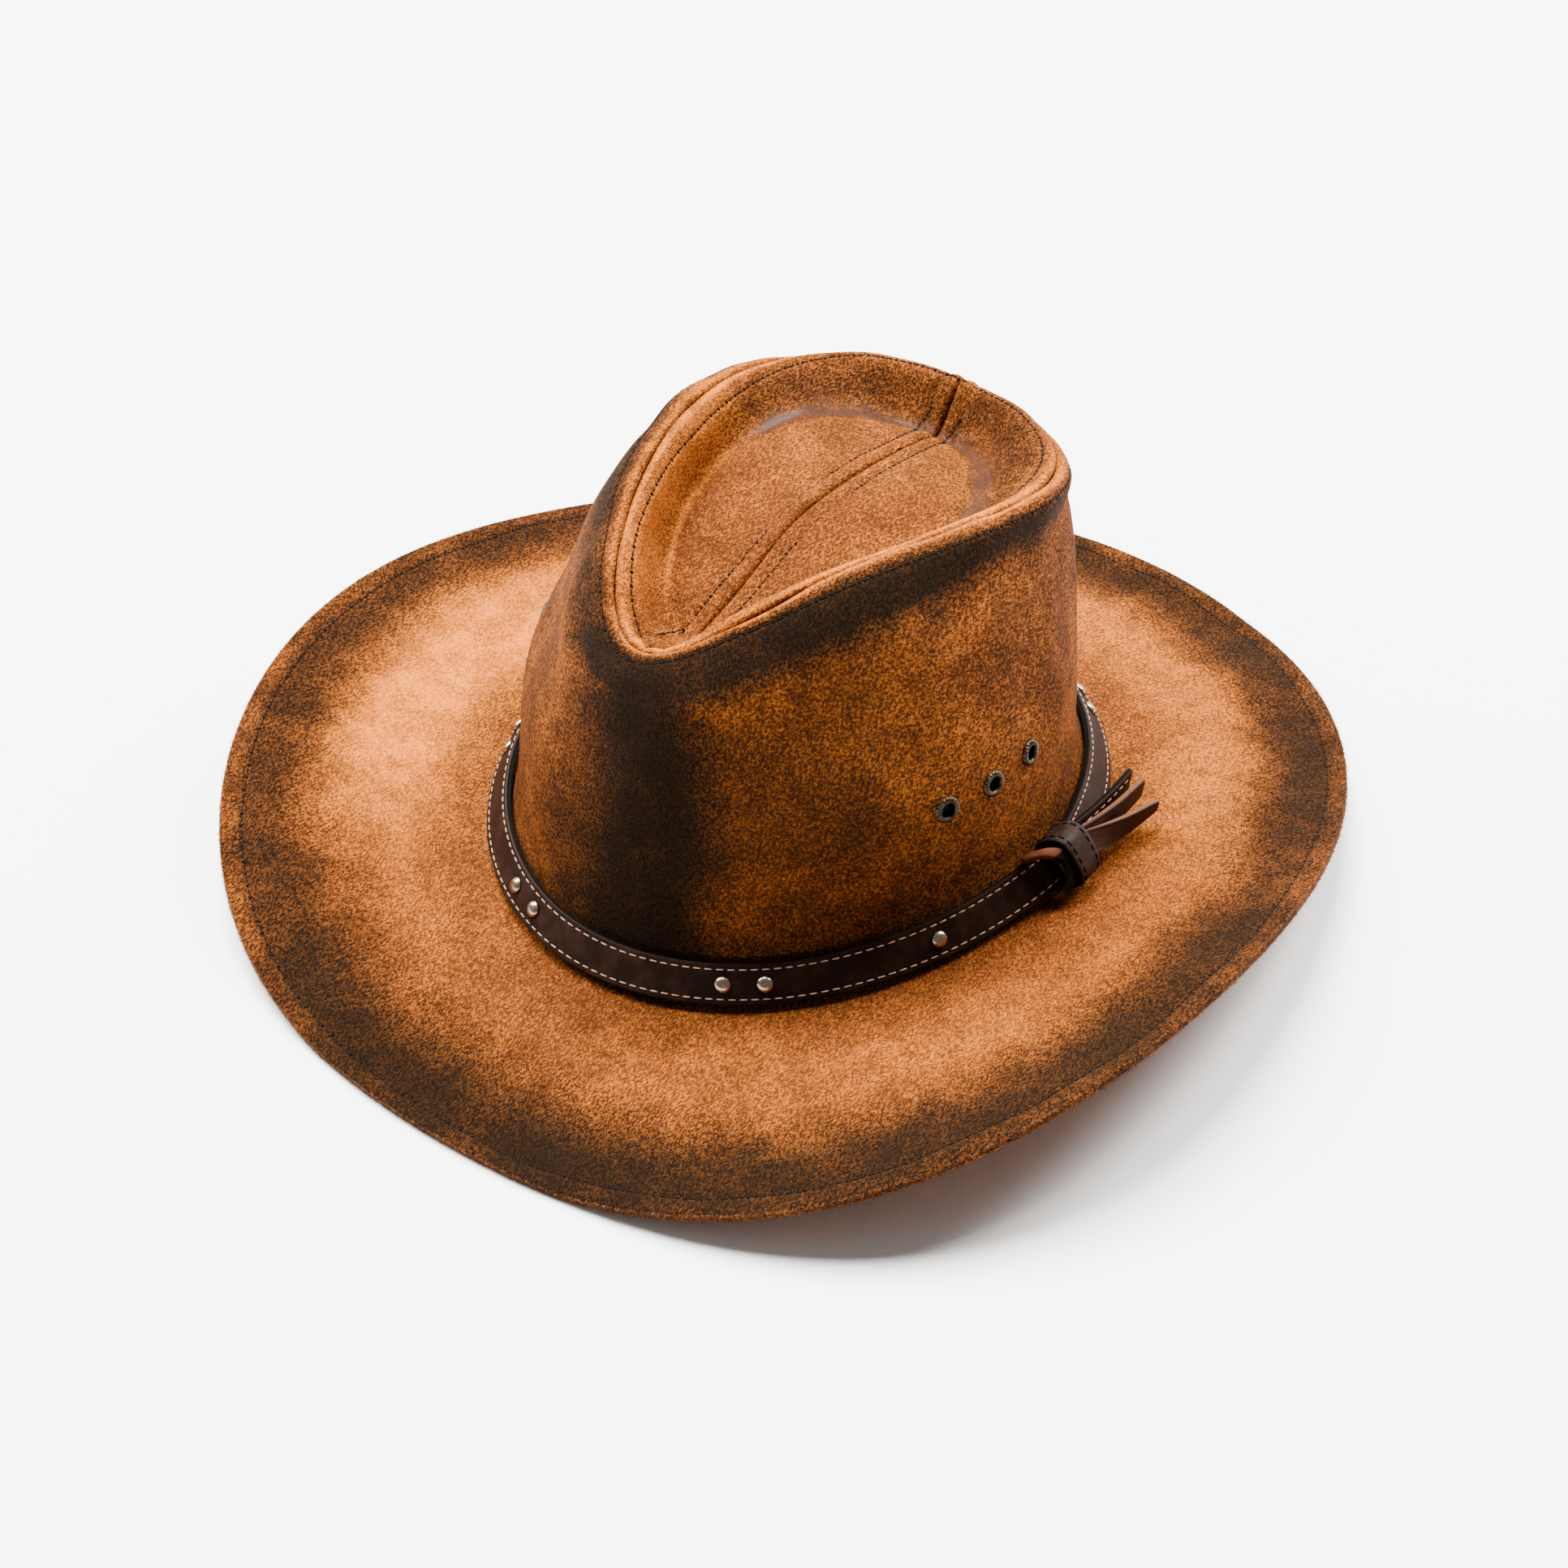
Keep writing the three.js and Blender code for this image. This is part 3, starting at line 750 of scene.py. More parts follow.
class Graph:
    """A shader node tree while it is being wired."""

    def __init__(self, tree: Tree) -> None:
        """Keeps the tree and empties it."""
        self.tree = tree
        self.tree.nodes.clear()

    def node(self, kind: str, values: dict | None = None, **settings: object) -> bpy.types.Node:
        """Adds a node.

        Args:
            kind: the node type after "ShaderNode".
            values: a constant or a socket for each input, by name or number.
            settings: the node's own options.

        Returns:
            The node.
        """
        node = self.tree.nodes.new("ShaderNode" + kind)
        for setting, choice in settings.items():
            setattr(node, setting, choice)
        return self.fill(node, values or {})

    def fill(self, node: bpy.types.Node, values: dict) -> bpy.types.Node:
        """Gives a node's inputs their constants and sockets."""
        for place, value in values.items():
            socket = node.inputs[place]
            if isinstance(value, Socket):
                self.tree.links.new(value, socket)
            elif isinstance(value, tuple) and len(value) == 3 and socket.type == "RGBA":
                socket.default_value = (*value, 1)
            else:
                socket.default_value = value
        return node

    def place(self) -> Socket:
        """The place on the piece, in its own coordinates."""
        return self.node("TexCoord").outputs["Object"]

    def mask(self, name: str) -> Socket:
        """A value kept on the points of the mesh."""
        return self.node("Attribute", attribute_name=name).outputs["Fac"]

    def noise(self, vector: Socket, size: float, detail: float = 2.0,
              rough: float = 0.5, warp: float = 0.0) -> Socket:
        """Cloudy noise around a half, whose largest clouds are so many mm in size."""
        values = {"Vector": vector, "Scale": 1 / (size * MM), "Detail": detail,
                  "Roughness": rough, "Distortion": warp}
        return self.node("TexNoise", values).outputs["Fac"]

    def math(self, operation: str, first: object, second: object = 0.0) -> Socket:
        """A sum, product or other operation on two values."""
        values = {0: first, 1: second}
        return self.node("Math", values, operation=operation, use_clamp=False).outputs[0]

    def step(self, value: Socket, low: float, high: float, bottom: float = 0.0,
             top: float = 1.0, rise: Rise = Rise.SOFT) -> Socket:
        """A step of a value.

        Args:
            value: what to step.
            low: where the step starts.
            high: where it is done.
            bottom: the result before the step.
            top: the result after it.
            rise: the form of the step.

        Returns:
            The stepped value.
        """
        values = {"Value": value, "From Min": low, "From Max": high, "To Min": bottom, "To Max": top}
        return self.node("MapRange", values, interpolation_type=rise.value).outputs[0]

    def ramp(self, value: Socket, low: float, high: float, bottom: float, top: float) -> Socket:
        """An even rise from one value to another."""
        return self.step(value, low, high, bottom, top, Rise.EVEN)

    def blend(self, share: object, first: object, second: object) -> Socket:
        """A mix of two colours with a share of the second."""
        values = {0: share, 6: first, 7: second}
        return self.node("Mix", values, data_type="RGBA").outputs[2]

    def times(self, first: object, second: object) -> Socket:
        """The product of two values."""
        return self.math("MULTIPLY", first, second)

    def plus(self, first: object, *others: object) -> Socket:
        """The sum of two or more values."""
        for other in others:
            first = self.math("ADD", first, other)
        return first

    def minus(self, first: object, second: object) -> Socket:
        """The difference of two values."""
        return self.math("SUBTRACT", first, second)

    def bump(self, height: Socket, depth: float, strength: float = 1.0) -> Socket:
        """The surface direction for a height from 0 to 1 that is so many mm deep."""
        values = {"Height": height, "Distance": depth * MM, "Strength": strength}
        return self.node("Bump", values).outputs["Normal"]

    def group(self, tree: Tree, values: dict) -> bpy.types.Node:
        """Adds a shared effect with its values."""
        node = self.tree.nodes.new("ShaderNodeGroup")
        node.node_tree = tree
        return self.fill(node, values)

    def finish(self, values: dict) -> None:
        """Adds the surface shader with its values and ends the material in it."""
        shader = self.node("BsdfPrincipled", values)
        self.node("OutputMaterial", {"Surface": shader.outputs["BSDF"]})


def new_material(name: str) -> tuple[Material, Graph]:
    """A named material with an empty tree."""
    material = bpy.data.materials.new(name)
    material.use_nodes = True
    return material, Graph(material.node_tree)


def shared_effect(name: str, inputs: dict[str, tuple[str, float]],
                  outputs: dict[str, str]) -> tuple[Tree, Graph, bpy.types.Node]:
    """Starts an effect that several materials use.

    Args:
        name: its name.
        inputs: the kind and the usual value of each input.
        outputs: the kind of each output.

    Returns:
        The tree, a graph to wire it with and the node that gives its inputs.
    """
    tree = bpy.data.node_groups.new(name, "ShaderNodeTree")
    graph = Graph(tree)
    for label, (kind, usual) in inputs.items():
        socket = tree.interface.new_socket(label, in_out="INPUT", socket_type=kind)
        if kind == "NodeSocketFloat":
            socket.default_value = usual
    for label, kind in outputs.items():
        tree.interface.new_socket(label, in_out="OUTPUT", socket_type=kind)
    return tree, graph, tree.nodes.new("NodeGroupInput")


def make_nap() -> Tree:
    """The brushed nap of suede: clumps of fibres that lean together.

    Returns:
        The effect, with the place and the clump size in mm going in, and a fleck value and a
        height coming out.
    """
    tree, graph, given = shared_effect(
        "Brushed nap",
        {"Place": ("NodeSocketVector", 0), "Clump": ("NodeSocketFloat", 1.0)},
        {"Fleck": "NodeSocketFloat", "Height": "NodeSocketFloat"},
    )
    per_metre = graph.math("DIVIDE", 1 / MM, given.outputs["Clump"])
    lean = graph.node("Mapping", {"Vector": given.outputs["Place"], "Rotation": (0.5, 0.3, 0.6),
                                  "Scale": (1.0, 0.55, 0.8)})
    clumps = graph.node("TexNoise", {"Vector": lean.outputs[0], "Scale": per_metre, "Detail": 3.0,
                                     "Roughness": 0.75, "Distortion": 0.2}).outputs["Fac"]
    finer = graph.times(per_metre, 2.3)
    hairs = graph.node("TexNoise", {"Vector": lean.outputs[0], "Scale": finer, "Detail": 1.0,
                                    "Roughness": 0.6}).outputs["Fac"]
    mixed = graph.plus(graph.times(clumps, 0.7), graph.times(hairs, 0.3))
    fleck = graph.step(mixed, 0.45, 0.55)
    out = tree.nodes.new("NodeGroupOutput")
    tree.links.new(fleck, out.inputs["Fleck"])
    tree.links.new(mixed, out.inputs["Height"])
    return tree


def make_pores() -> Tree:
    """The fine pebbled grain of smooth leather.

    Returns:
        The effect, with the place and the pebble size in mm going in, and a height and a wear
        value coming out.
    """
    tree, graph, given = shared_effect(
        "Leather pores",
        {"Place": ("NodeSocketVector", 0), "Pebble": ("NodeSocketFloat", 0.8)},
        {"Height": "NodeSocketFloat", "Wear": "NodeSocketFloat"},
    )
    per_metre = graph.math("DIVIDE", 1 / MM, given.outputs["Pebble"])
    cells = graph.node("TexVoronoi", {"Vector": given.outputs["Place"], "Scale": per_metre})
    edge = graph.step(cells.outputs["Distance"], 0.1, 0.75, 1.0, 0.0)
    wear = graph.node("TexNoise", {"Vector": given.outputs["Place"], "Scale": 140.0, "Detail": 5.0,
                                   "Roughness": 0.6}).outputs["Fac"]
    out = tree.nodes.new("NodeGroupOutput")
    tree.links.new(edge, out.inputs["Height"])
    tree.links.new(wear, out.inputs["Wear"])
    return tree


@dataclass(frozen=True)
class Suede:
    """Tan suede with sprayed shading and painted shade, orange patches, pale patches that are partly painted
    light, and a burnished crease.
    """

    name: str = "Suede"
    light: Colour = (0.335, 0.090, 0.0115)
    orange: Colour = (0.180, 0.047, 0.0080)
    fleck: Colour = (0.040, 0.0120, 0.0021)
    # pale colours rubbed wear and fibre tips, and the painted light that the pale mask carries.
    pale: Colour = (0.80, 0.210, 0.019)
    # sprayed and umber colour the spray mask, which on the crown's side also carries painted shade.
    sprayed: Colour = (0.0058, 0.0026, 0.0009)
    umber: Colour = (0.030, 0.0128, 0.0030)
    burnished: Colour = (0.021, 0.0080, 0.0032)
    clump: float = 0.7
    cloud_step: Pair = (0.36, 0.62)
    patch_step: Pair = (0.5, 0.72)
    patch_share: float = 0.5
    dull_step: Pair = (0.45, 0.72)
    dull_share: Pair = (0.5, 0.2)
    pale_wear_and_light_step: Pair = (0.62, 0.35)
    pale_wear_and_light_least: float = 0.62
    tip_step: Pair = (0.53, 0.66)
    tip_share: float = 0.42
    speck_share: Pair = (0.86, 0.42)
    spray_drift: float = 0.75
    spray_blots: float = 0.35
    spray_drops: float = 0.22
    spray_loose: Pair = (0.0, 0.4)
    cover_step: Pair = (0.0, 0.97)
    cover_gap: float = 0.06
    cover_power: float = 1.9
    brown_step: Pair = (0.75, 1.0)
    brown_share: Pair = (0.75, 0.35)
    shine_step: Pair = (0.12, 1.05)
    shine_blots: float = 0.9
    shine_share: float = 0.9
    roughness: Pair = (0.88, 0.6)
    shiny_relief: float = 0.12
    depth: float = 2.4
    specular: float = 0.04
    coat: float = 0.04
    coat_roughness: float = 0.17

    def build(self, nap: Tree) -> Material:
        """Makes the material.

        Args:
            nap: the shared nap.

        Returns:
            The material, which reads the masks spray, burnish and pale from the points.
        """
        material, graph = new_material(self.name)
        place = graph.place()
        grain = graph.group(nap, {"Place": place, "Clump": self.clump})
        fleck, height = grain.outputs["Fleck"], grain.outputs["Height"]
        clouds = graph.noise(place, size=34, detail=5, rough=0.58, warp=0.4)
        patches = graph.noise(place, size=75, detail=3, warp=0.8)
        mottle = graph.noise(place, size=9, detail=4, rough=0.6)
        base = graph.blend(graph.step(clouds, *self.cloud_step), self.light, self.orange)
        base = graph.blend(graph.step(patches, *self.patch_step, 0, self.patch_share), base, self.orange)
        dull = graph.times(graph.step(mottle, *self.dull_step),
                           graph.ramp(graph.mask("pale"), 0, 1, *self.dull_share))
        base = graph.blend(dull, base, self.umber)
        # Pale patches from the pale mask: rubbed wear, and painted light along the crease of the top and on
        # the brim's wearer's right.
        rubbed = graph.times(graph.mask("pale"),
                             graph.step(mottle, *self.pale_wear_and_light_step, self.pale_wear_and_light_least, 1))
        base = graph.blend(rubbed, base, self.pale)
        tips = graph.times(graph.step(height, *self.tip_step), self.tip_share)
        base = graph.blend(tips, base, self.pale)
        specks = graph.times(graph.minus(1.0, fleck), graph.ramp(rubbed, 0, 1, *self.speck_share))
        base = graph.blend(specks, base, self.fleck)
        # The spray mask: sprayed dye, and painted shade on the crown's side.
        spray = graph.mask("spray")
        drift = graph.times(graph.minus(clouds, 0.5), self.spray_drift)
        blots = graph.times(graph.minus(mottle, 0.5), self.spray_blots)
        drops = graph.times(graph.minus(0.5, fleck), self.spray_drops)
        edge = graph.times(graph.plus(drift, drops, blots), graph.step(spray, *self.spray_loose))
        thin = graph.ramp(graph.plus(spray, edge), *self.cover_step, 1.0, self.cover_gap)
        cover = graph.minus(1.0, graph.math("POWER", thin, self.cover_power))
        brown = graph.times(fleck, graph.ramp(spray, *self.brown_step, *self.brown_share))
        colour = graph.blend(cover, base, graph.blend(brown, self.sprayed, self.umber))
        uneven = graph.times(graph.minus(mottle, 0.5), self.shine_blots)
        shine = graph.step(graph.plus(graph.mask("burnish"), uneven), *self.shine_step)
        colour = graph.blend(graph.times(shine, self.shine_share), colour, self.burnished)
        relief = graph.times(height, graph.step(shine, 0, 1, 1, self.shiny_relief))
        graph.finish({
            "Base Color": colour,
            "Roughness": graph.step(shine, 0, 1, *self.roughness),
            "Normal": graph.bump(relief, self.depth),
            "Specular IOR Level": self.specular,
            "Coat Weight": graph.times(shine, self.coat),
            "Coat Roughness": self.coat_roughness,
        })
        return material


@dataclass(frozen=True)
class StrapLeather:
    """Smooth strap leather with raw edges."""

    name: str
    face: Colour
    worn: Colour
    raw: Colour
    roughness: float = 0.5
    pebble: float = 0.9
    wear_step: Pair = (0.42, 0.7)
    raw_step: Pair = (0.25, 0.6)
    fuzz_step: Pair = (0.35, 0.7)
    fuzz_shade: float = 0.45
    grain_height: float = 0.3
    fuzz_height: float = 1.6
    raw_roughness: float = 0.85
    depth: float = 0.16
    specular: float = 0.045

    def build(self, pores: Tree) -> Material:
        """Makes the material.

        Args:
            pores: the shared leather grain.

        Returns:
            The material, which reads the mask raw from the points.
        """
        material, graph = new_material(self.name)
        place = graph.place()
        grain = graph.group(pores, {"Place": place, "Pebble": self.pebble})
        wear = graph.step(grain.outputs["Wear"], *self.wear_step)
        face = graph.blend(wear, self.face, self.worn)
        raw = graph.step(graph.mask("raw"), *self.raw_step)
        fuzz = graph.noise(place, size=0.5, detail=4, rough=0.7)
        shaded = tuple(part * self.fuzz_shade for part in self.raw)
        cut = graph.blend(graph.step(fuzz, *self.fuzz_step), self.raw, shaded)
        relief = graph.plus(graph.times(grain.outputs["Height"], self.grain_height),
                            graph.times(graph.times(fuzz, raw), self.fuzz_height))
        smear = graph.step(grain.outputs["Wear"], 0.3, 0.7, self.roughness - 0.08, self.roughness + 0.12)
        graph.finish({
            "Base Color": graph.blend(raw, face, cut),
            "Roughness": graph.math("MAXIMUM", smear, graph.times(raw, self.raw_roughness)),
            "Normal": graph.bump(relief, self.depth, strength=0.8),
            "Specular IOR Level": self.specular,
        })
        return material


@dataclass(frozen=True)
class Thread:
    """Waxed sewing thread."""

    name: str
    colour: Colour
    shade: float = 0.5

    def build(self) -> Material:
        """Makes the material: strands in two shades with a fine twist."""
        material, graph = new_material(self.name)
        place = graph.place()
        twist = graph.noise(place, size=0.35, detail=3, rough=0.7)
        shaded = tuple(part * self.shade for part in self.colour)
        shade = graph.blend(graph.step(twist, 0.35, 0.7), self.colour, shaded)
        graph.finish({
            "Base Color": shade,
            "Roughness": graph.step(twist, 0.3, 0.7, 0.7, 0.9),
            "Normal": graph.bump(twist, depth=0.15, strength=0.7),
            "Specular IOR Level": 0.06,
        })
        return material


@dataclass(frozen=True)
class Metal:
    """Small plated fittings."""

    name: str
    bright: Colour
    tarnish: Colour
    roughness: float
    tarnish_from: float = 0.5

    def build(self) -> Material:
        """Makes the material: bright plate with tarnish in clouds and fine scratches."""
        material, graph = new_material(self.name)
        place = graph.place()
        clouds = graph.noise(place, size=1.6, detail=4, rough=0.6)
        scratch = graph.noise(place, size=0.25, detail=3, rough=0.7)
        dirt = graph.step(clouds, self.tarnish_from - 0.1, self.tarnish_from + 0.15)
        graph.finish({
            "Base Color": graph.blend(dirt, self.bright, self.tarnish),
            "Roughness": graph.step(scratch, 0.3, 0.7, self.roughness - 0.06, self.roughness + 0.14),
            "Metallic": 1.0,
            "Normal": graph.bump(scratch, depth=0.03, strength=0.4),
        })
        return material


@dataclass(frozen=True)
class Finishes:
    """Every material of the hat."""

    suede: Material
    fibres: Material
    strap: Material
    keeper: Material
    wrap: Material
    strap_end: Material
    pale_thread: Material
    dark_thread: Material
    # Near-black: painted shade inside needle holes, and the keeper's black thread.
    hole: Material
    nickel: Material
    brass: Material


def make_fibres() -> Material:
    """Loose suede fibres, lighter and darker ones side by side."""
    material, graph = new_material("Suede fibres")
    place = graph.place()
    light, dark = (0.16, 0.05, 0.012), (0.03, 0.012, 0.004)
    shade = graph.step(graph.noise(place, size=1.5), 0.35, 0.65)
    colour = graph.blend(shade, light, dark)
    graph.finish({"Base Color": colour, "Roughness": graph.step(shade, 0, 1, 0.8, 0.95)})
    return material


def make_finishes() -> Finishes:
    """Makes every material of the hat."""
    nap, pores = make_nap(), make_pores()
    return Finishes(
        suede=Suede().build(nap),
        fibres=make_fibres(),
        strap=StrapLeather("Strap leather", (0.0085, 0.0032, 0.0017), (0.0165, 0.0064, 0.0035),
                           (0.0035, 0.0025, 0.002)).build(pores),
        keeper=StrapLeather("Keeper leather", (0.0125, 0.0056, 0.0037), (0.024, 0.0115, 0.0078),
                            (0.004, 0.0025, 0.002), roughness=0.44, pebble=1.4).build(pores),
        # The wrap's dark raw colour also paints the shade inside the keeper's mouth.
        wrap=StrapLeather("Wrap leather", (0.085, 0.024, 0.010), (0.040, 0.012, 0.0055),
                          (0.010, 0.004, 0.0025), roughness=0.62).build(pores),
        strap_end=StrapLeather("Strap end leather", (0.020, 0.007, 0.004), (0.036, 0.0125, 0.0068),
                               (0.125, 0.055, 0.027)).build(pores),
        pale_thread=Thread("Pale thread", (0.40, 0.25, 0.16)).build(),
        dark_thread=Thread("Dark thread", (0.010, 0.0042, 0.0022)).build(),
        # Painted shade inside needle holes, also used for the keeper's black stitches.
        hole=Thread("Needle hole shade", (0.0018, 0.0008, 0.0005)).build(),
        nickel=Metal("Nickel", (0.36, 0.27, 0.19), (0.17, 0.115, 0.075), 0.2, 0.75).build(),
        brass=Metal("Antique brass", (0.058, 0.043, 0.026), (0.022, 0.016, 0.010), 0.3, 0.5).build(),
    )


def dress(piece: Piece, material: Material, slot: str, *nodes: str) -> Piece:
    """Gives a piece its material and its place on the hat.

    Args:
        piece: the finished piece.
        material: its material.
        slot: the record's material slot; not used.
        nodes: the solids that it stands for.

    Returns:
        The same piece.
    """
    piece.data.materials.clear()
    piece.data.materials.append(material)
    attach(piece, "root")
    if nodes:
        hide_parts(*nodes)
    log.info("%s: %d faces", piece.name, len(piece.data.polygons))
    return piece


# The suede shell


@dataclass(frozen=True)
class TurnedSeam:
    """A seam whose edges are turned in and stitched down on both sides."""

    depth: float = 0.75
    lip: float = 0.6
    puff: float = 0.45
    tuck: float = 0.38
    tuck_width: float = 0.8

    def relief(self, off: Array, row: Array, reach: float) -> Array:
        """How far the leather stands out beside the seam.

        Args:
            off: distance from the seam in mm.
            row: distance from the line of stitches in mm.
            reach: how far the line of stitches is from the seam.

        Returns:
            The height over the plain form in mm.
        """
        roll = -self.depth * bell(off, 0, self.lip)
        swell = self.puff * bell(off, 0.5 * reach, 0.3 * reach)
        pulled = -self.tuck * bell(row, 0, self.tuck_width)
        return roll + swell + pulled


@dataclass
class Crown:
    """The side and the two halves of the top of the crown."""

    form: HatForm
    side_columns: int = 480
    side_rows: tuple[int, int, int] = (58, 54, 24)
    side_split: float = 4.1
    top_columns: int = 230
    top_rows: tuple[int, int, int] = (34, 26, 22)
    top_splits: Pair = (7.6, 9.0)
    side_level_mm: float = 6.0
    top_level_mm: float = 4.0
    centre_row: float = 5.6
    pitch: float = 4.6
    eyelet_hole: float = 3.1
    cutter_depth: float = 16.0
    cutter_sides: int = 20
    seam: TurnedSeam = field(default_factory=TurnedSeam)

    def off_front(self, angle: Array) -> Array:
        """Degrees off the front, the same to both sides."""
        return np.degrees(self.form.from_front(angle))

    def ridge_relief(self, points: Array, angle: Array, row_level: float) -> Array:
        """The relief beside the seam of the ridge.

        Args:
            points: places on the outer face.
            angle: their angles.
            row_level: the level of the line of stitches on that side of the seam.

        Returns:
            The height over the plain form.
        """
        seam, row = self.form.crown(angle, SEAM), self.form.crown(angle, row_level)
        reach = float(np.linalg.norm(seam - row, axis=-1).mean())
        off = np.linalg.norm(points - seam, axis=-1)
        return self.seam.relief(off, np.linalg.norm(points - row, axis=-1), reach)

    def centre_relief(self, points: Array) -> Array:
        """The relief beside the seam along the middle of the top."""
        off = np.abs(points[..., 0])
        return self.seam.relief(off, off - self.centre_row, self.centre_row)

    def side_relief(self, points: Array, angle: Array, level: Array) -> Array:
        """The height of the side over the plain form.

        Args:
            points: places on the outer face.
            angle: their angles.
            level: their levels.

        Returns:
            The height in mm.
        """
        loose = smooth(level, 1.3, 2.4)
        broad = soft_waves(points, length=42, height=0.35, seed=3)
        waves = broad + soft_waves(points, length=16, height=0.12, seed=4)
        return self.ridge_relief(points, angle, OUTER_ROW) + loose * waves

    def top_relief(self, points: Array, angle: Array, side: Side) -> Array:
        """The height of half of the top over the plain form, worked out at positive X.

        Args:
            points: places on the outer face.
            angle: their angles.
            side: which half.

        Returns:
            The height in mm.
        """
        seams = self.ridge_relief(points, angle, INNER_ROW) + self.centre_relief(points)
        return seams + soft_waves(points, length=30, height=0.22, seed=6 + side.value)

    def lips(self, points: Array, angle: Array) -> Array:
        """How pale the leather is rubbed on both lips of the seam of the ridge.

        Args:
            points: places on the outer face.
            angle: their angles.

        Returns:
            Values from 0 to 1.
        """
        off = np.linalg.norm(points - self.form.crown(angle, SEAM), axis=-1)
        turn = self.off_front(angle)
        tip, flank = smooth(turn, 40, 8), smooth(turn, 20, 60) * smooth(turn, 150, 115)
        return bell(off, 1.9, 1.5) * (0.45 + 0.4 * np.maximum(tip, flank))

    def side_spray_and_shade(self, angle: Array, level: Array) -> Array:
        """Where the side is darkened: sprayed dark, with painted shadow under the ridge, painted shade down
        the front and painted shade just above the band.

        Args:
            angle: angles from the front towards the wearer's left.
            level: rows of the crown table, with fractions between.

        Returns:
            Values from 0 to 1.
        """
        degrees = from_behind(angle)
        facing = smooth(np.abs(degrees), 160, 70)
        right = 0.4 * smooth(degrees, -4, -34)
        # Sprayed dye under the ridge, with the shadow of the ridge's overhang painted in.
        spray_and_shadow_under_ridge = (0.4 + 0.9 * facing) * (1 - right) * bell(level, 4.55, 0.75)
        # Sprayed dye down the front, with painted shade where the front turns away from the lights.
        front = (0.66 + 0.3 * smooth(degrees, -12, 6)) * smooth(np.abs(degrees - 3), 34, 11)
        front = front * smooth(level, 5.0, 4.3)
        # Painted shade just above the band.
        foot = 0.4 * smooth(level, 2.0, 0.8)
        ridge = 0.16 * smooth(level, 4.6, 5.4) * smooth(degrees, 10, -40)
        wash = 0.24 * smooth(level, 5.0, 4.0)
        return np.clip(np.maximum(np.maximum(spray_and_shadow_under_ridge, front), np.maximum(foot, wash)) + ridge, 0, 1)

    def top_spray(self, angle: Array, level: Array) -> Array:
        """Where the top is sprayed dark: the inner slope of the ridge towards the back."""
        turn = self.off_front(angle)
        return 0.42 * bell(level, 7.45, 0.42) * smooth(turn, 78, 122)

    def burnish(self, angle: Array, level: Array) -> Array:
        """Where the crease of the top is rubbed shiny."""
        turn = self.off_front(angle)
        return bell(level, 8.12, 0.4) * smooth(turn, 94, 122)

    def painted_light_streak(self, angle: Array, level: Array) -> Array:
        """Where the crease and the slope above it are made pale towards the front: a painted highlight along
        the crease and painted light on the slope above it.

        Args:
            angle: angles from the front towards the wearer's left.
            level: rows of the crown table, with fractions between.

        Returns:
            Values from 0 to 1.
        """
        turn = self.off_front(angle)
        # A painted highlight along the crease, and painted light on the slope above it.
        across = np.maximum(0.8 * bell(level, 8.15, 0.22), 0.65 * bell(level, 7.1, 0.7))
        return across * smooth(turn, 22, 45) * smooth(turn, 112, 95)

    def side(self, finish: Material) -> Piece:
        """Models the side of the crown.

        Args:
            finish: its suede.

        Returns:
            The piece, from the brim up to the seam of the ridge.
        """
        form = self.form
        gap = form.clearance / 2 / self.side_level_mm
        low_rows, high_rows, inner_rows = self.side_rows
        outer = np.concatenate([
            np.linspace(0, self.side_split, low_rows, endpoint=False),
            np.linspace(self.side_split, SEAM - gap, high_rows),
        ])
        inner = np.linspace(SEAM - gap, 0, inner_rows)
        angle = full_turn(self.side_columns)[None]
        face = form.crown(angle, outer[:, None])
        out = form.crown_normal(angle, outer[:, None])
        height = self.side_relief(face, angle, outer[:, None])
        back = form.crown(angle, inner[:, None])
        back -= form.crown_leather * form.crown_normal(angle, inner[:, None])
        back[-1, :, 2] = face[0, :, 2]
        lines = np.concatenate([face + out * height[..., None], back])
        levels = np.concatenate([outer, inner])[:, None]
        # The spray mask holds sprayed dye and painted shade: under the ridge, down the front and above the
        # band.
        spray = self.side_spray_and_shade(angle, levels) * np.concatenate([outer * 0 + 1, inner * 0])[:, None]
        pale = np.concatenate([self.lips(face, angle), 0 * angle + 0 * inner[:, None]])
        piece = lay_grid("crown_wall", form.settle(tube_closed(lines)), suede_masks(spray, pale))
        self.pierce(piece)
        return dress(piece, finish, "suede", "crown_side")

    def pierce(self, piece: Piece) -> None:
        """Cuts the eyelet holes through the side.

        Args:
            piece: the side of the crown.
        """
        cutters = []
        for degrees in EYELET_ANGLES + tuple(-angle for angle in EYELET_ANGLES):
            frame = eyelet_frame(self.form, math.radians(degrees))
            deselect()
            bpy.ops.mesh.primitive_cylinder_add(vertices=self.cutter_sides, radius=self.eyelet_hole * MM,
                                                depth=self.cutter_depth * MM)
            cutter = bpy.context.object
            matrix = Matrix(frame.tolist())
            matrix.translation = Vector(frame[:3, 3] * MM)
            cutter.data.transform(matrix)
            cutters.append(cutter)
        choose(*cutters)
        bpy.ops.object.join()
        joined = bpy.context.object
        cut = piece.modifiers.new("holes", "BOOLEAN")
        cut.operation = "DIFFERENCE"
        cut.solver = "EXACT"
        cut.object = joined
        choose(piece)
        bpy.ops.object.modifier_apply(modifier=cut.name)
        discard(joined)

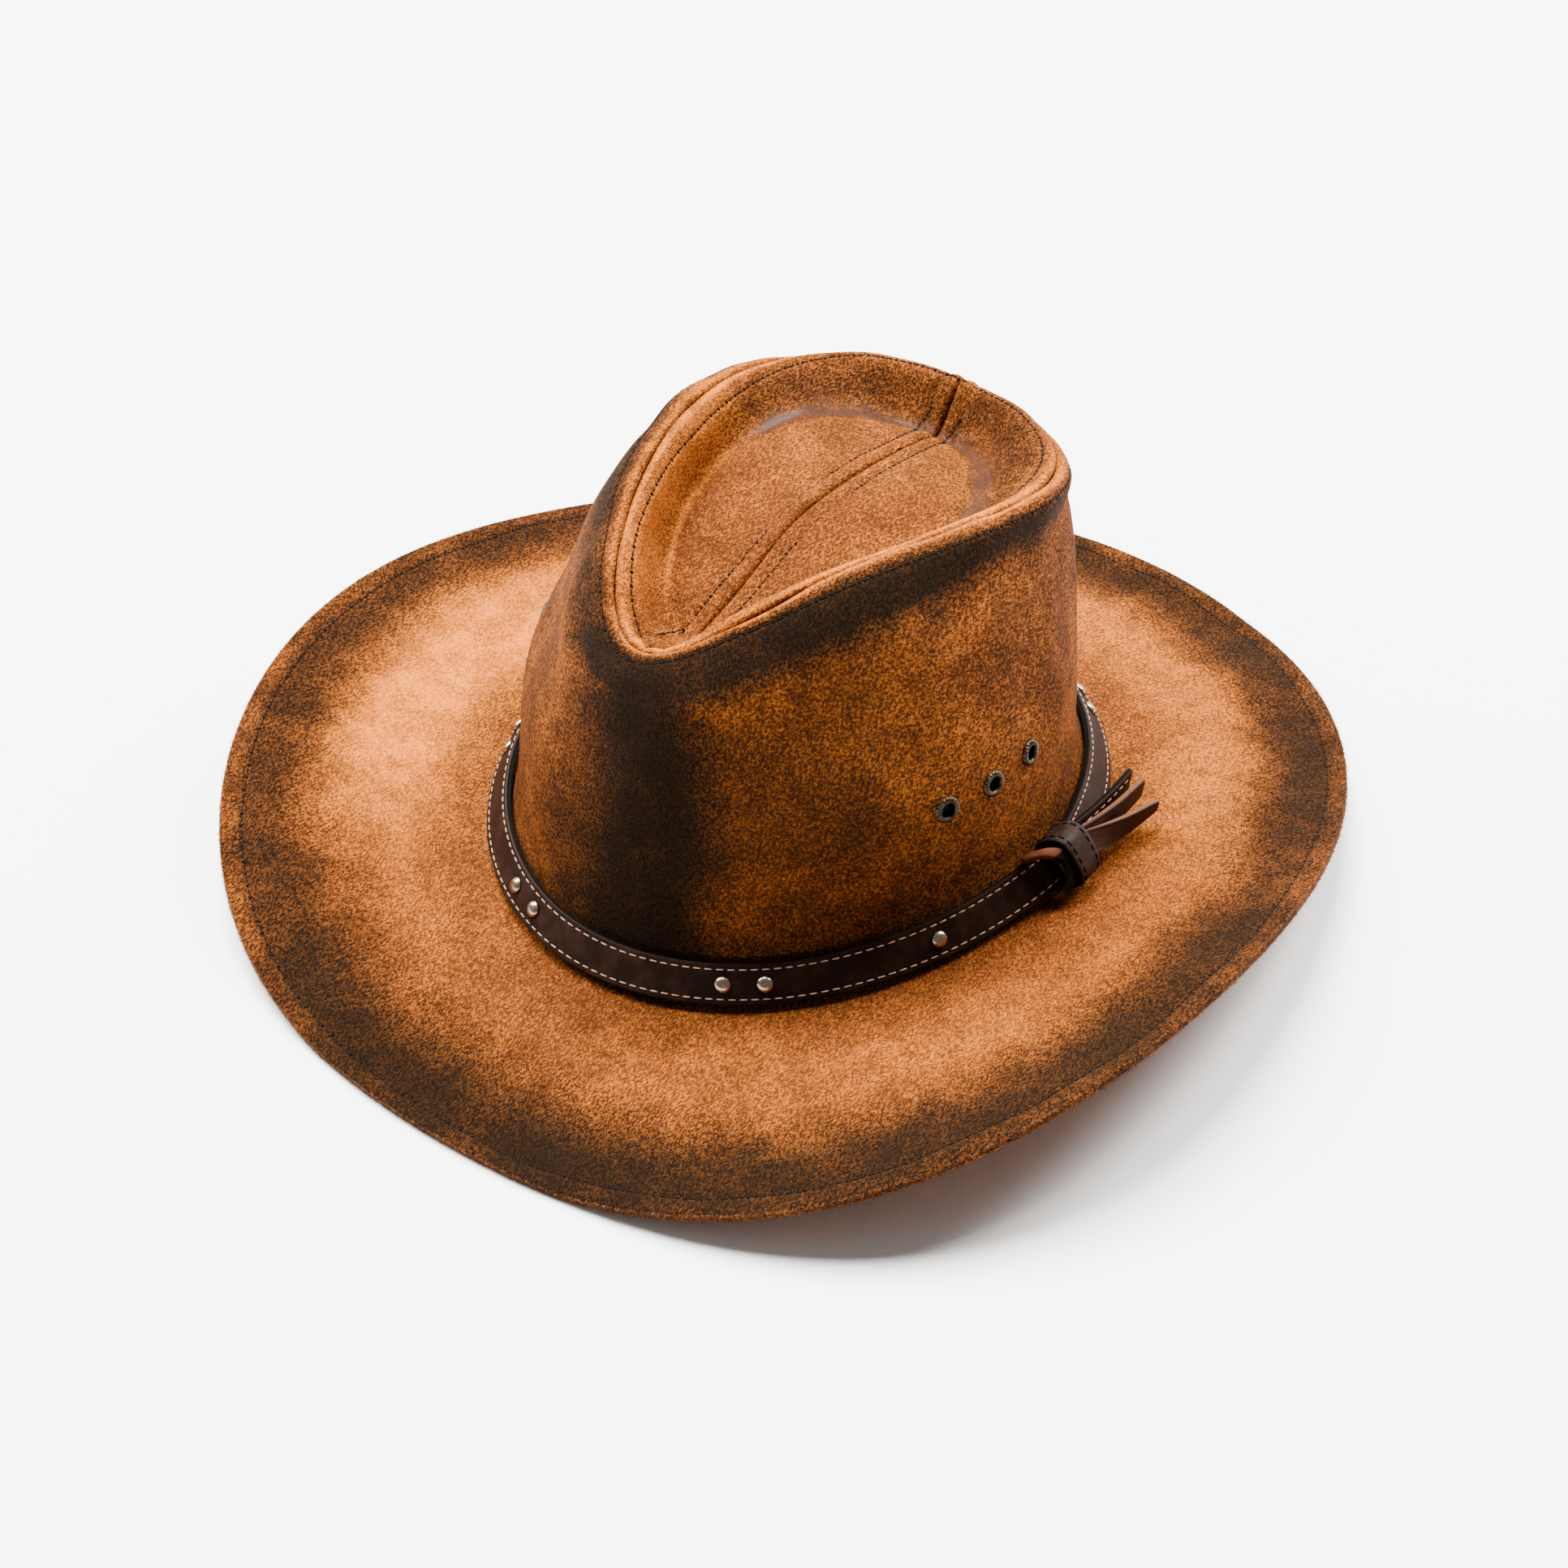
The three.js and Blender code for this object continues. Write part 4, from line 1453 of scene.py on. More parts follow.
    def top(self, side: Side, finish: Material) -> Piece:
        """Models half of the top.

        Args:
            side: which half.
            finish: its suede.

        Returns:
            The piece, from the seam of the ridge to the seam along the middle.
        """
        form = self.form
        gap = form.clearance / 2 / self.top_level_mm
        stops = (SEAM + gap, *self.top_splits, SPINE)
        levels = np.concatenate([
            np.linspace(stops[0], stops[1], self.top_rows[0], endpoint=False),
            np.linspace(stops[1], stops[2], self.top_rows[1], endpoint=False),
            np.linspace(stops[2], stops[3], self.top_rows[2]),
        ])[:, None]
        angle = np.linspace(0, math.pi, self.top_columns)[None]
        face = form.crown(angle, levels)
        out = form.crown_normal(angle, levels)
        height = self.top_relief(face, angle, side)
        half = form.clearance / 2
        shell = []
        for skin in (face + out * height[..., None], face - out * form.crown_leather):
            skin[..., 0] = np.maximum(skin[..., 0], half)
            skin[:, 0, 0] = skin[:, -1, 0] = skin[-1, :, 0] = half
            shell.append(skin)
        lines = np.concatenate([shell[0], shell[1][::-1]])
        lines[..., 0] *= side.value
        spray, shine = self.top_spray(angle, levels), self.burnish(angle, levels)
        masks = {}
        # The pale mask: rubbed lips of the ridge seam, and the painted highlight and painted light of the
        # crease streak.
        pale = np.maximum(self.lips(face, angle), self.painted_light_streak(angle, levels))
        for name, mask in (("spray", spray), ("burnish", shine), ("pale", pale)):
            both = np.concatenate([mask, 0 * mask[::-1]])
            masks[name] = skin_closed(np.concatenate([both[:, :1], both, both[:, -1:]], axis=1))
        name = "crown_half_" + side.name.lower()
        piece = lay_grid(name, form.settle(skin_closed(ends_folded(lines))), masks)
        return dress(piece, finish, "suede", "crown_top_" + side.name.lower())

    def outer_path(self) -> tuple[Array, Array]:
        """The line of stitches below the ridge, settled, with the directions out of it."""
        angle = full_turn(1200)
        level = np.full(angle.shape, float(OUTER_ROW))
        points, normal = self.form.crown(angle, level), self.form.crown_normal(angle, level)
        points = points + normal * self.side_relief(points, angle, level)[:, None]
        return self.form.settle(points), normal

    def inner_path(self) -> tuple[Array, Array]:
        """The line of stitches inside the ridge, settled, with the directions out of it."""
        angle = np.linspace(0.03, math.pi - 0.03, 600)
        level = np.full(angle.shape, float(INNER_ROW))
        halves = []
        for side in Side:
            points, normal = self.form.crown(angle, level), self.form.crown_normal(angle, level)
            points = points + normal * self.top_relief(points, angle, side)[:, None]
            mirror = np.array([side.value, 1, 1])
            halves.append((points * mirror, normal * mirror))
        (left, left_out), (right, right_out) = halves
        points = np.concatenate([left, right[::-1]])
        return self.form.settle(points), np.concatenate([left_out, right_out[::-1]])

    def centre_path(self, side: Side, off: float) -> tuple[Array, Array]:
        """A line of stitches along the middle of the top.

        Args:
            side: the half that it lies on.
            off: its distance from the middle in mm.

        Returns:
            The settled places from front to back and the directions out of them.
        """
        angle = np.linspace(0.02, math.pi - 0.02, 900)
        levels = np.linspace(SPINE, SEAM + 0.05, 320)
        across = self.form.crown(angle[None], levels[:, None])[..., 0]
        reached = across > off
        kept = reached.any(axis=0)
        first = reached.argmax(axis=0)[kept]
        columns = np.nonzero(kept)[0]
        before = np.maximum(first - 1, 0)
        low, high = across[before, columns], across[first, columns]
        share = np.clip((off - low) / np.maximum(high - low, 1e-6), 0, 1)
        level = levels[before] + (levels[first] - levels[before]) * share
        points = evened(self.form.crown(angle[kept], level))
        normal = self.form.crown_normal(angle[kept], level)
        points = points + normal * self.top_relief(points, angle[kept], side)[:, None]
        points[:, 0] *= side.value
        normal[:, 0] *= side.value
        return self.form.settle(points), normal

    def stitches(self, finishes: Finishes) -> None:
        """Sews the ridge and the middle of the top: dark thread between needle holes."""
        rows = [
            ("ridge_outer", *self.outer_path(), True),
            ("ridge_inner", *self.inner_path(), True),
            ("centre_left", *self.centre_path(Side.LEFT, self.centre_row), False),
            ("centre_right", *self.centre_path(Side.RIGHT, self.centre_row), False),
        ]
        for name, path, normal, closed in rows:
            sew(name, path, normal, self.pitch, closed, finishes)


def sew(name: str, path: Array, normal: Array, pitch: float, closed: bool,
        finishes: Finishes) -> None:
    """Sews a line of sunken dark stitches with a needle hole at each end, the holes near-black as painted
    shade.

    Args:
        name: the start of the pieces' names.
        path: settled places in mm.
        normal: the directions out of the leather.
        pitch: the distance between stitches in mm.
        closed: whether the line runs back into its start.
        finishes: the materials.
    """
    frames = frames_along(path + normal * THREAD_RAISE, normal, pitch, closed)
    stitch = model_stitch(length=pitch * 0.6, thickness=0.5, sink=0.3)
    dress(set_copies(name + "_thread", stitch, frames), finishes.dark_thread, "suede")
    discard(stitch)
    hole = model_hole()
    shifted = frames.copy()
    shifted[:, :3, 3] += shifted[:, :3, 0] * pitch / 2
    dress(set_copies(name + "_holes", hole, shifted), finishes.hole, "suede")
    discard(hole)


@dataclass(frozen=True)
class SprayRow:
    """How the brim is sprayed at an angle: shares of the way from crown to edge."""

    degrees: float
    start: float
    full: float
    strength: float
    rim: float
    # pale: how pale the upper face is made, as rubbed patches and painted light, strongest on the wearer's
    # right.
    pale: float = 0.0


SPRAY_ROWS = (
    SprayRow(-180, 0.52, 0.88, 0.85, 0.75, 0.3),
    SprayRow(-150, 0.54, 0.90, 0.80, 0.70, 0.5),
    SprayRow(-120, 0.54, 0.92, 0.72, 0.65, 0.7),
    SprayRow(-90, 0.56, 0.92, 0.68, 0.60, 0.9),
    SprayRow(-62, 0.52, 0.88, 0.68, 0.55, 1.0),
    SprayRow(-35, 0.34, 0.86, 0.80, 0.62, 0.2),
    SprayRow(-10, 0.38, 0.86, 0.94, 0.88, 0.05),
    SprayRow(15, 0.44, 0.88, 0.98, 0.95, 0.08),
    SprayRow(40, 0.48, 0.88, 0.95, 0.90, 0.2),
    SprayRow(62, 0.48, 0.88, 0.86, 0.80, 0.3),
    SprayRow(90, 0.44, 0.86, 0.84, 0.78, 0.25),
    SprayRow(120, 0.46, 0.86, 0.82, 0.78, 0.35),
    SprayRow(150, 0.50, 0.84, 0.85, 0.75, 0.4),
    SprayRow(180, 0.52, 0.88, 0.85, 0.75, 0.3),
)


@dataclass(frozen=True)
class EdgeStep:
    """One line of the brim's edge: a share of the way down it and an inset in mm."""

    depth: float
    inset: float


BRIM_EDGE = (
    EdgeStep(0.1, 0.14),
    EdgeStep(0.25, 0),
    EdgeStep(0.42, 0.02),
    EdgeStep(0.49, 0.22),
    EdgeStep(0.56, 0.04),
    EdgeStep(0.75, 0.0),
    EdgeStep(0.92, 0.16),
)


@dataclass
class Brim:
    """The wide brim: two layers of suede sewn together near the edge."""

    form: HatForm
    columns: int = 600
    rows: tuple[int, int] = (40, 26)
    fine_from: float = 0.86
    edge_from: float = 0.994
    edge_spray: float = 0.55
    under_spray: float = 0.12
    stitch_share: float = 0.925
    pitch: float = 4.8
    strands: int = 26000
    strand_length: float = 0.95
    strand_width: float = 0.16
    strand_spread: float = 0.55
    strand_seed: int = 21

    @staticmethod
    def by_angle(angle: Array, column: str) -> Array:
        """A column of the spray table at some angles."""
        rows = [(row.degrees, getattr(row, column)) for row in SPRAY_ROWS]
        return np.interp(from_behind(angle), *zip(*rows))

    def pale(self, angle: Array, share: Array) -> Array:
        """Where the upper face is made pale: rubbed patches, and painted light that is strongest on the
        wearer's right, towards the front.
        """
        return self.by_angle(angle, "pale") * smooth(share, 0.12, 0.4) * smooth(share, 0.85, 0.6)

    def spray(self, angle: Array, share: Array) -> Array:
        """Where the upper face is sprayed dark.

        Args:
            angle: angles from the front towards the wearer's left.
            share: 0 at the crown's inside to 1 at the edge.

        Returns:
            Values from 0 to 1.
        """
        start, full, strength, rim = (
            self.by_angle(angle, name) for name in ("start", "full", "strength", "rim")
        )
        rise = smooth(share, start, full)
        return strength * rise * (1 - (1 - rim) * smooth(share, 0.9, 0.97))

    def relief(self, points: Array, share: Array) -> Array:
        """The relief of the upper face: soft waves and the pull of the stitches.

        Args:
            points: places on the upper face.
            share: 0 at the crown's inside to 1 at the edge.

        Returns:
            The height over the plain form in mm.
        """
        from_row = (share - self.stitch_share) * self.form.brim_reach
        pulled = -0.35 * bell(from_row, 0, 1.0) + 0.15 * bell(from_row, 3, 2.0)
        loose = smooth(share, 0.16, 0.3) * smooth(share, 1.0, 0.93)
        broad = soft_waves(points, length=55, height=0.5, seed=11)
        return pulled + loose * (broad + soft_waves(points, length=18, height=0.14, seed=12))

    def build(self, finish: Material) -> Piece:
        """Models the brim.

        Args:
            finish: its suede.

        Returns:
            The piece, with a rounded edge and a line between its two layers.
        """
        form = self.form
        angle = full_turn(self.columns)[None]
        shares = np.concatenate([
            np.linspace(0, self.fine_from, self.rows[0], endpoint=False),
            np.linspace(self.fine_from, self.edge_from, self.rows[1]),
        ])
        top = form.brim(angle, shares[:, None])
        out = form.brim_normal(angle, shares[:, None])
        under = top - out * form.brim_leather
        height = self.relief(top, shares[:, None])
        height = height * smooth(shares, 1.0, 0.985)[:, None] + 0 * angle
        upper, lower = form.pressed(top, under)
        lift = form.settle(top + out) - form.settle(top)
        upper = upper + lift * height[..., None]
        edge = self.edge(angle)
        wall = lower[::-1][::3]
        if not np.allclose(wall[-1], lower[0]):
            wall = np.concatenate([wall, lower[:1]])
        lines = np.concatenate([upper, edge, wall])
        spray = np.concatenate([
            self.spray(angle, shares[:, None]),
            np.repeat(self.edge_spray * self.spray(angle, np.array([[0.99]])), len(edge), axis=0),
            np.full((len(wall), self.columns), self.under_spray),
        ])
        # The pale mask of the upper face: rubbed patches and painted light.
        pale = np.zeros(spray.shape)
        pale[:len(shares)] = self.pale(angle, shares[:, None])
        piece = lay_grid("brim_suede", tube_closed(lines), suede_masks(spray, pale))
        return dress(piece, finish, "suede", "brim")

    def edge(self, angle: Array) -> Array:
        """The rounded edge of both layers.

        Args:
            angle: angles from the front towards the wearer's left, (1, n).

        Returns:
            Settled lines from the upper face to the underside.
        """
        form = self.form
        top = form.brim(angle, np.ones((1, 1)))
        out = form.brim_normal(angle, 1.0)
        upper, lower = form.pressed(top, top - out * form.brim_leather)
        side = unit(form.settle(form.brim(angle, 1)) - form.settle(form.brim(angle, 0.99)))
        return np.concatenate([upper + (lower - upper) * row.depth - side * row.inset for row in BRIM_EDGE])

    def stitches(self, finishes: Finishes) -> None:
        """Sews the two layers together inside the edge."""
        form = self.form
        angle = full_turn(2400)
        share = np.full(angle.shape, self.stitch_share)
        points, normal = form.brim(angle, share), form.brim_normal(angle, share)
        settled, _ = form.pressed(points, points - normal * form.brim_leather)
        settled = settled + normal * self.relief(points, share)[:, None]
        sew("brim_row", settled, normal, self.pitch, True, finishes)

    def fuzz(self, finishes: Finishes) -> Piece:
        """Raises loose fibres along the raw edge.

        Args:
            finishes: the materials.

        Returns:
            The fibres as one piece.
        """
        form, strands = self.form, self.strands
        random = np.random.default_rng(self.strand_seed)
        angle = random.uniform(0, 2 * math.pi, strands)
        across = random.beta(1.2, 1.2, strands)
        share = np.full(strands, 0.999)
        top = form.brim(angle, share)
        out = form.brim_normal(angle, share)
        upper, lower = form.pressed(top, top - out * form.brim_leather)
        root = upper + (lower - upper) * across[:, None]
        side = unit(form.settle(form.brim(angle, share)) - form.settle(form.brim(angle, share - 0.01)))
        lean = side + random.normal(scale=self.strand_spread, size=(strands, 3))
        lean[:, 2] = np.where(across > 0.85, np.abs(lean[:, 2]), lean[:, 2])
        return raise_fibres("brim_fuzz", root - 0.1 * side, unit(lean), self.strand_length,
                            self.strand_width, finishes, random)


def raise_fibres(name: str, root: Array, lean: Array, length: float, width: float,
                 finishes: Finishes, random: np.random.Generator) -> Piece:
    """Makes many loose fibres as one piece of thin blades.

    Args:
        name: the piece's name.
        root: settled places in mm where they grow.
        lean: the direction of each.
        length: usual length in mm.
        width: width at the root in mm.
        finishes: the materials.
        random: the source of their differences.

    Returns:
        The piece.
    """
    count = len(root)
    reach = length * random.uniform(0.4, 1.3, (count, 1))
    cross = unit(np.cross(lean, random.normal(size=(count, 3))))
    tip = root + lean * reach + random.normal(scale=0.12, size=(count, 3)) * reach
    tip[:, 2] = np.maximum(tip[:, 2], 0.05)
    blades = np.stack([root - cross * width / 2, root + cross * width / 2, tip], axis=1)
    faces = np.arange(count * 3).reshape(-1, 3).tolist()
    return dress(lay_faces(name, blades, faces), finishes.fibres, "suede")


# The strap band and its fittings


@dataclass(frozen=True)
class StrapSection:
    """The section of a strap: a face with rounded corners, raw edges and a raw back."""

    width: float
    thickness: float
    corner: float = 0.35
    layer: float = 0.45
    notch: float = 0.12
    row: float = 1.7
    channel: float = 0.14
    face_lines: int = 27
    back_lines: int = 7

    def outline(self) -> tuple[Array, Array, Array]:
        """The outline of the section.

        Returns:
            The place across, the depth under the face and how raw the leather is there.
        """
        half, thick, corner = self.width / 2, self.thickness, self.corner
        face = np.linspace(-half + corner, half - corner, self.face_lines)
        dip = self.channel * (bell(face, half - self.row, 0.4) + bell(face, self.row - half, 0.4))
        edge_across = [half - 0.1, half, half, half - self.notch, half, half, half - 0.25]
        split = thick * self.layer
        edge_depth = [0.1, corner, split - 0.15, split, split + 0.15, thick - 0.25, thick]
        edge_raw = [0.1, 0.3, 0.75, 1, 1, 1, 1]
        back = np.linspace(half - 0.8, 0.8 - half, self.back_lines)
        across = np.concatenate([face, edge_across, back, [-value for value in edge_across[::-1]]])
        depth = np.concatenate([dip, edge_depth, np.full(self.back_lines, thick), edge_depth[::-1]])
        raw = np.concatenate([np.zeros(self.face_lines), edge_raw, np.ones(self.back_lines), edge_raw[::-1]])
        return across, depth, raw


@dataclass
class HatBand:
    """The stitched strap around the foot of the crown."""

    form: HatForm
    columns: int = 420
    row: float = 1.7
    pitch: float = 3.5
    sunk: float = 0.08

    def build(self, finishes: Finishes) -> Piece:
        """Models the band."""
        form = self.form
        angle = full_turn(self.columns)
        middle, across, normal = form.band(angle)
        side, depth, raw = StrapSection(form.strap_width, form.strap_leather).outline()
        lines = middle[None] + across[None] * side[:, None, None] - normal[None] * depth[:, None, None]
        masks = {"raw": tube_closed(raw[:, None] + 0 * angle[None])}
        piece = lay_grid("band_strap", form.settle(tube_closed(lines)), masks)
        return dress(piece, finishes.strap, "strap_leather", "hat_band")

    def stitches(self, finishes: Finishes) -> None:
        """Sews a pale row along each edge of the band."""
        form = self.form
        angle = full_turn(2400)
        middle, across, normal = form.band(angle)
        stitch = model_stitch(length=self.pitch * 0.68, thickness=0.45, sink=0.2)
        for label, sign in (("upper", 1), ("lower", -1)):
            path = middle + across * sign * (form.strap_width / 2 - self.row) - normal * self.sunk
            frames = frames_along(form.settle(path), normal, self.pitch, True)
            piece = set_copies("band_row_" + label, stitch, frames)
            dress(piece, finishes.pale_thread, "strap_leather")
        discard(stitch)


@dataclass(frozen=True)
class RingLine:
    """One line of a leather ring's skin.

    It lies at a share of the leather's thickness from the inside, at a share of half the length
    from the middle, moved by an inset in mm, and is raw to a degree.
    """

    skin: float
    end: float
    inset: float = 0.0
    raw: float = 0.0


RING_CORNER = 0.4
RING_LINES = (
    RingLine(0, -1, raw=1), RingLine(0, 0, raw=1), RingLine(0, 1, raw=1),
    RingLine(0.35, 1, raw=1), RingLine(0.75, 1, raw=0.8),
    RingLine(0.98, 1, -RING_CORNER, 0.2),
    RingLine(1.02, 0.75), RingLine(1.08, 0.4), RingLine(1.11, 0),
    RingLine(1.08, -0.4), RingLine(1.02, -0.75),
    RingLine(0.98, -1, RING_CORNER, 0.2),
    RingLine(0.75, -1, raw=0.8), RingLine(0.35, -1, raw=1),
)


@dataclass
class Keeper:
    """The leather ring that holds the strap ends, and the wrap in front of it."""

    form: HatForm
    squareness: float = 2.9
    around: int = 96
    pitch: float = 3.1
    wrap_in: float = 6.5
    wrap_back: float = 2.5
    wrap_narrow: float = 0.6
    wrap_depth: float = 0.64
    wrap_raw: float = 0.4

    def ring(self, angle: float, width: float, depth: float, length: float,
             drift: Array) -> tuple[Array, Array]:
        """A ring of leather around the strap.

        Args:
            angle: where it is on the band.
            width: room inside it across the strap.
            depth: room inside it out of the strap.
            length: its length along the strap.
            drift: how far each part of the turn is moved along the strap, (around,).

        Returns:
            The settled lines of its skin and how raw the leather is on each.
        """
        form = self.form
        middle, along, across, normal = form.strap_frame(angle)
        centre = middle + normal * (form.keeper_depth() / 2 - form.strap_leather - form.keeper_ease)
        turn, leather = self.turn(), form.keeper_leather
        power = self.squareness
        spread = np.abs(np.cos(turn)) ** power + np.abs(np.sin(turn)) ** power
        square = spread ** (-1 / power)
        lines = []
        for row in RING_LINES:
            reach_across = width / 2 + row.skin * leather
            reach_out = depth / 2 + row.skin * leather
            line = (
                centre[None]
                + across[None] * (np.cos(turn) * square * reach_across)[:, None]
                + normal[None] * (np.sin(turn) * square * reach_out)[:, None]
                + along[None] * (row.end * length / 2 + row.inset + drift)[:, None]
            )
            lines.append(line)
        return form.settle(np.stack(lines)), np.array([row.raw for row in RING_LINES], dtype=float)

    def turn(self) -> Array:
        """Angles around a ring, from its upper edge over its outer side."""
        return full_turn(self.around)

    def room(self) -> float:
        """Room inside the keeper across the strap."""
        return self.form.strap_width + 2 * self.form.keeper_ease

    def build(self, finishes: Finishes) -> None:
        """Models the keeper with its two rows of stitches, and the wrap."""
        form = self.form
        lines, raw = self.ring(form.keeper_angle, self.room(), form.keeper_depth(), form.keeper_length,
                               0 * self.turn())
        masks = {"raw": tube_closed(raw[:, None] + np.zeros((1, self.around)))}
        piece = lay_grid("keeper_ring", tube_closed(lines), masks)
        dress(piece, finishes.keeper, "strap_leather", "band_keeper")
        self.stitches(lines, finishes)
        self.wrap(finishes)

    def stitches(self, lines: Array, finishes: Finishes) -> None:
        """Sews a row around each end of the keeper.

        Args:
            lines: the settled lines of its skin.
            finishes: the materials.
        """
        centre = lines.mean(axis=(0, 1))
        stitch = model_stitch(length=2.3, thickness=0.6, sink=0.2)
        for label, near, far in (("front", 10, 9), ("back", 6, 7)):
            path = lines[near] * 0.7 + lines[far] * 0.3
            frames = frames_along(path, unit(path - centre), self.pitch, True)
            # The rows use the near-black hole material: black thread, made blacker as painted shade in its
            # groove.
            dress(set_copies("keeper_row_" + label, stitch, frames), finishes.hole, "strap_leather")
        discard(stitch)

    def wrap(self, finishes: Finishes) -> None:
        """Models the turn of leather in front of the keeper.

        Its outer side runs into the keeper's mouth, where its raw mask paints the shade of the mouth on it
        in the dark raw colour.

        Args:
            finishes: the materials.
        """
        form, turn = self.form, self.turn()
        apart = (form.keeper_length + form.wrap_length) / 2 + form.keeper_ease
        angle = form.keeper_angle - apart / (form.crown_length / 2)
        front, upper = np.maximum(0, np.sin(turn)), np.maximum(0, np.cos(turn))
        drift = self.wrap_in * front**2 - self.wrap_back * upper**2
        lines, raw = self.ring(angle, self.room() - self.wrap_narrow,
                               form.keeper_depth() * self.wrap_depth, form.wrap_length, drift)
        degrees = np.degrees(turn)
        # Painted shade where the wrap runs into the keeper's mouth, carried by the raw mask.
        inside = smooth(degrees, 52, 70) * smooth(degrees, 150, 132)
        masks = {"raw": tube_closed(np.maximum(self.wrap_raw * raw[:, None], inside[None]))}
        piece = lay_grid("wrap_turn", tube_closed(lines), masks)
        dress(piece, finishes.wrap, "wrap_leather", "strap_wrap")


@dataclass(frozen=True)
class StrapEnd:
    """One loose end of strap that comes out of the keeper."""

    name: str
    node: str
    layer: int
    rise: float
    splay: float
    wide: float
    long: float
    tip: float
    stitched: bool


STRAP_ENDS = (
    StrapEnd("end_stitched", "strap_end_stitched", 1, 5, 0.5, 1, 0.93, 0.7, True),
    StrapEnd("end_upper", "strap_end_upper", 2, 1.5, 2, 0.8, 0.95, 0.75, False),
    StrapEnd("end_lower", "strap_end_lower", 3, -5.5, 4, 0.7, 0.93, 0.5, False),
)


@dataclass
class StrapEnds:
    """The three loose ends."""

    form: HatForm
    columns: int = 60
    twist_ease: float = 0.55
    row: float = 2.2
    pitch: float = 3.5
    raised: float = 0.02

    def line(self, row: StrapEnd, share: Array) -> tuple[Array, Array, Array, Array]:
        """The middle of an end's face along its length.

        Args:
            row: which end.
            share: 0 inside the keeper to 1 at the tip.

        Returns:
            The places, the widths, the direction across and the direction out.
        """
        form = self.form
        middle, along, across, normal = form.strap_frame(form.keeper_angle)
        depth = row.layer * (form.strap_end_leather + form.clearance)
        start = middle - along * form.keeper_length / 2
        length = form.strap_end_length * row.long + form.keeper_length
        free = np.maximum(0, share - form.keeper_length / length)
        ease = np.sin(math.pi / 2 * np.minimum(1, self.twist_ease * free / form.strap_end_twist_run))
        lean = form.strap_end_twist * ease[:, None]
        side = across * np.cos(lean) + normal * np.sin(lean)
        out = normal * np.cos(lean) - across * np.sin(lean)
        points = (
            start
            + along * (length * share)[:, None]
            + across * (row.rise * free)[:, None]
            + normal * (row.splay * free**2 + form.strap_end_lift * free)[:, None]
            + out * depth
        )
        narrow = row.wide * (1 - (1 - row.tip) * share**6)
        return points, (form.strap_width * narrow - 2 * form.clearance), side, out

    def build(self, finishes: Finishes) -> None:
        """Models the three ends, one of them stitched like the band."""
        form = self.form
        share = np.linspace(0, 1, self.columns)
        for row in STRAP_ENDS:
            points, width, across, normal = self.line(row, share)
            side, depth, raw = StrapSection(form.strap_width, form.strap_end_leather).outline()
            side = side / form.strap_width
            lines = (
                points[None]
                + across[None] * (side[:, None] * width[None])[..., None]
                - normal[None] * depth[:, None, None]
            )
            lines = self.closed_ends(lines)
            masks = {"raw": skin_closed(raw[:, None] + np.zeros((1, lines.shape[1])))}
            piece = lay_grid(row.name, form.settle(skin_closed(lines)), masks)
            finish = finishes.strap if row.stitched else finishes.strap_end
            dress(piece, finish, "strap_end_leather", row.node)
            if row.stitched:
                self.stitches(row, finishes)

    @staticmethod
    def closed_ends(lines: Array) -> Array:
        """The lines with each end drawn in to its middle, which closes it."""
        middles = np.broadcast_to(lines.mean(axis=0), lines.shape)
        return np.concatenate([middles[:, :1], lines, middles[:, -1:]], axis=1)

    def stitches(self, row: StrapEnd, finishes: Finishes) -> None:
        """Sews the pale row along the upper edge of an end.

        Args:
            row: which end.
            finishes: the materials.
        """
        share = np.linspace(0.25, 0.95, 300)
        points, width, across, normal = self.line(row, share)
        path = points + across * (width / 2 - self.row)[:, None] + normal * self.raised
        frames = frames_along(self.form.settle(path), normal, self.pitch, False)
        stitch = model_stitch(length=2.4, thickness=0.45, sink=0.2)
        dress(set_copies("end_stitched_row", stitch, frames), finishes.pale_thread, "strap_end_leather")
        discard(stitch)


@dataclass
class Rivets:
    """The dome rivets on the band."""

    form: HatForm
    radius: float = 2.6
    height: float = 1.5

    def model(self) -> Piece:
        """Models one rivet: a dome with a thin rim, in mm around the origin."""
        deselect()
        bpy.ops.mesh.primitive_uv_sphere_add(segments=28, ring_count=14, radius=self.radius)
        model = bpy.context.object
        bpy.ops.object.mode_set(mode="EDIT")
        bpy.ops.mesh.select_all(action="SELECT")
        bpy.ops.mesh.bisect(plane_co=(0, 0, 0), plane_no=(0, 0, 1), clear_inner=True, use_fill=True)
        bpy.ops.object.mode_set(mode="OBJECT")
        for vertex in model.data.vertices:
            out = math.hypot(vertex.co.x, vertex.co.y) / self.radius
            vertex.co.z = vertex.co.z / self.radius * self.height * (0.9 + 0.1 * out)
        return model

    def build(self, finishes: Finishes) -> None:
        """Sets a rivet on the band at each of its places."""
        form = self.form
        model = self.model()
        for number, degrees in enumerate(RIVET_ANGLES, start=1):
            middle, along, _, normal = form.strap_frame(math.radians(degrees))
            frame = frame_at(middle + normal * form.clearance * 0.3, along, normal)
            frame = form.settling() @ frame
            piece = set_copies(f"dome_{number}", model, frame[None])
            dress(piece, finishes.nickel, "rivet_nickel", f"rivet_{number}")
        discard(model)


def eyelet_frame(form: HatForm, angle: float) -> Array:
    """Where an eyelet sits on the crown: settled, with Z out of the leather.

    Args:
        form: the hat's form.
        angle: its angle from the front.

    Returns:
        A 4 by 4 matrix in mm.
    """
    angles, levels = np.array([angle]), np.array([EYELET_LEVEL])
    normal = form.crown_normal(angles, levels)[0]
    frame = frame_at(form.crown(angles, levels)[0], np.array([0.0, 0.0, 1.0]), normal)
    return form.settling() @ frame


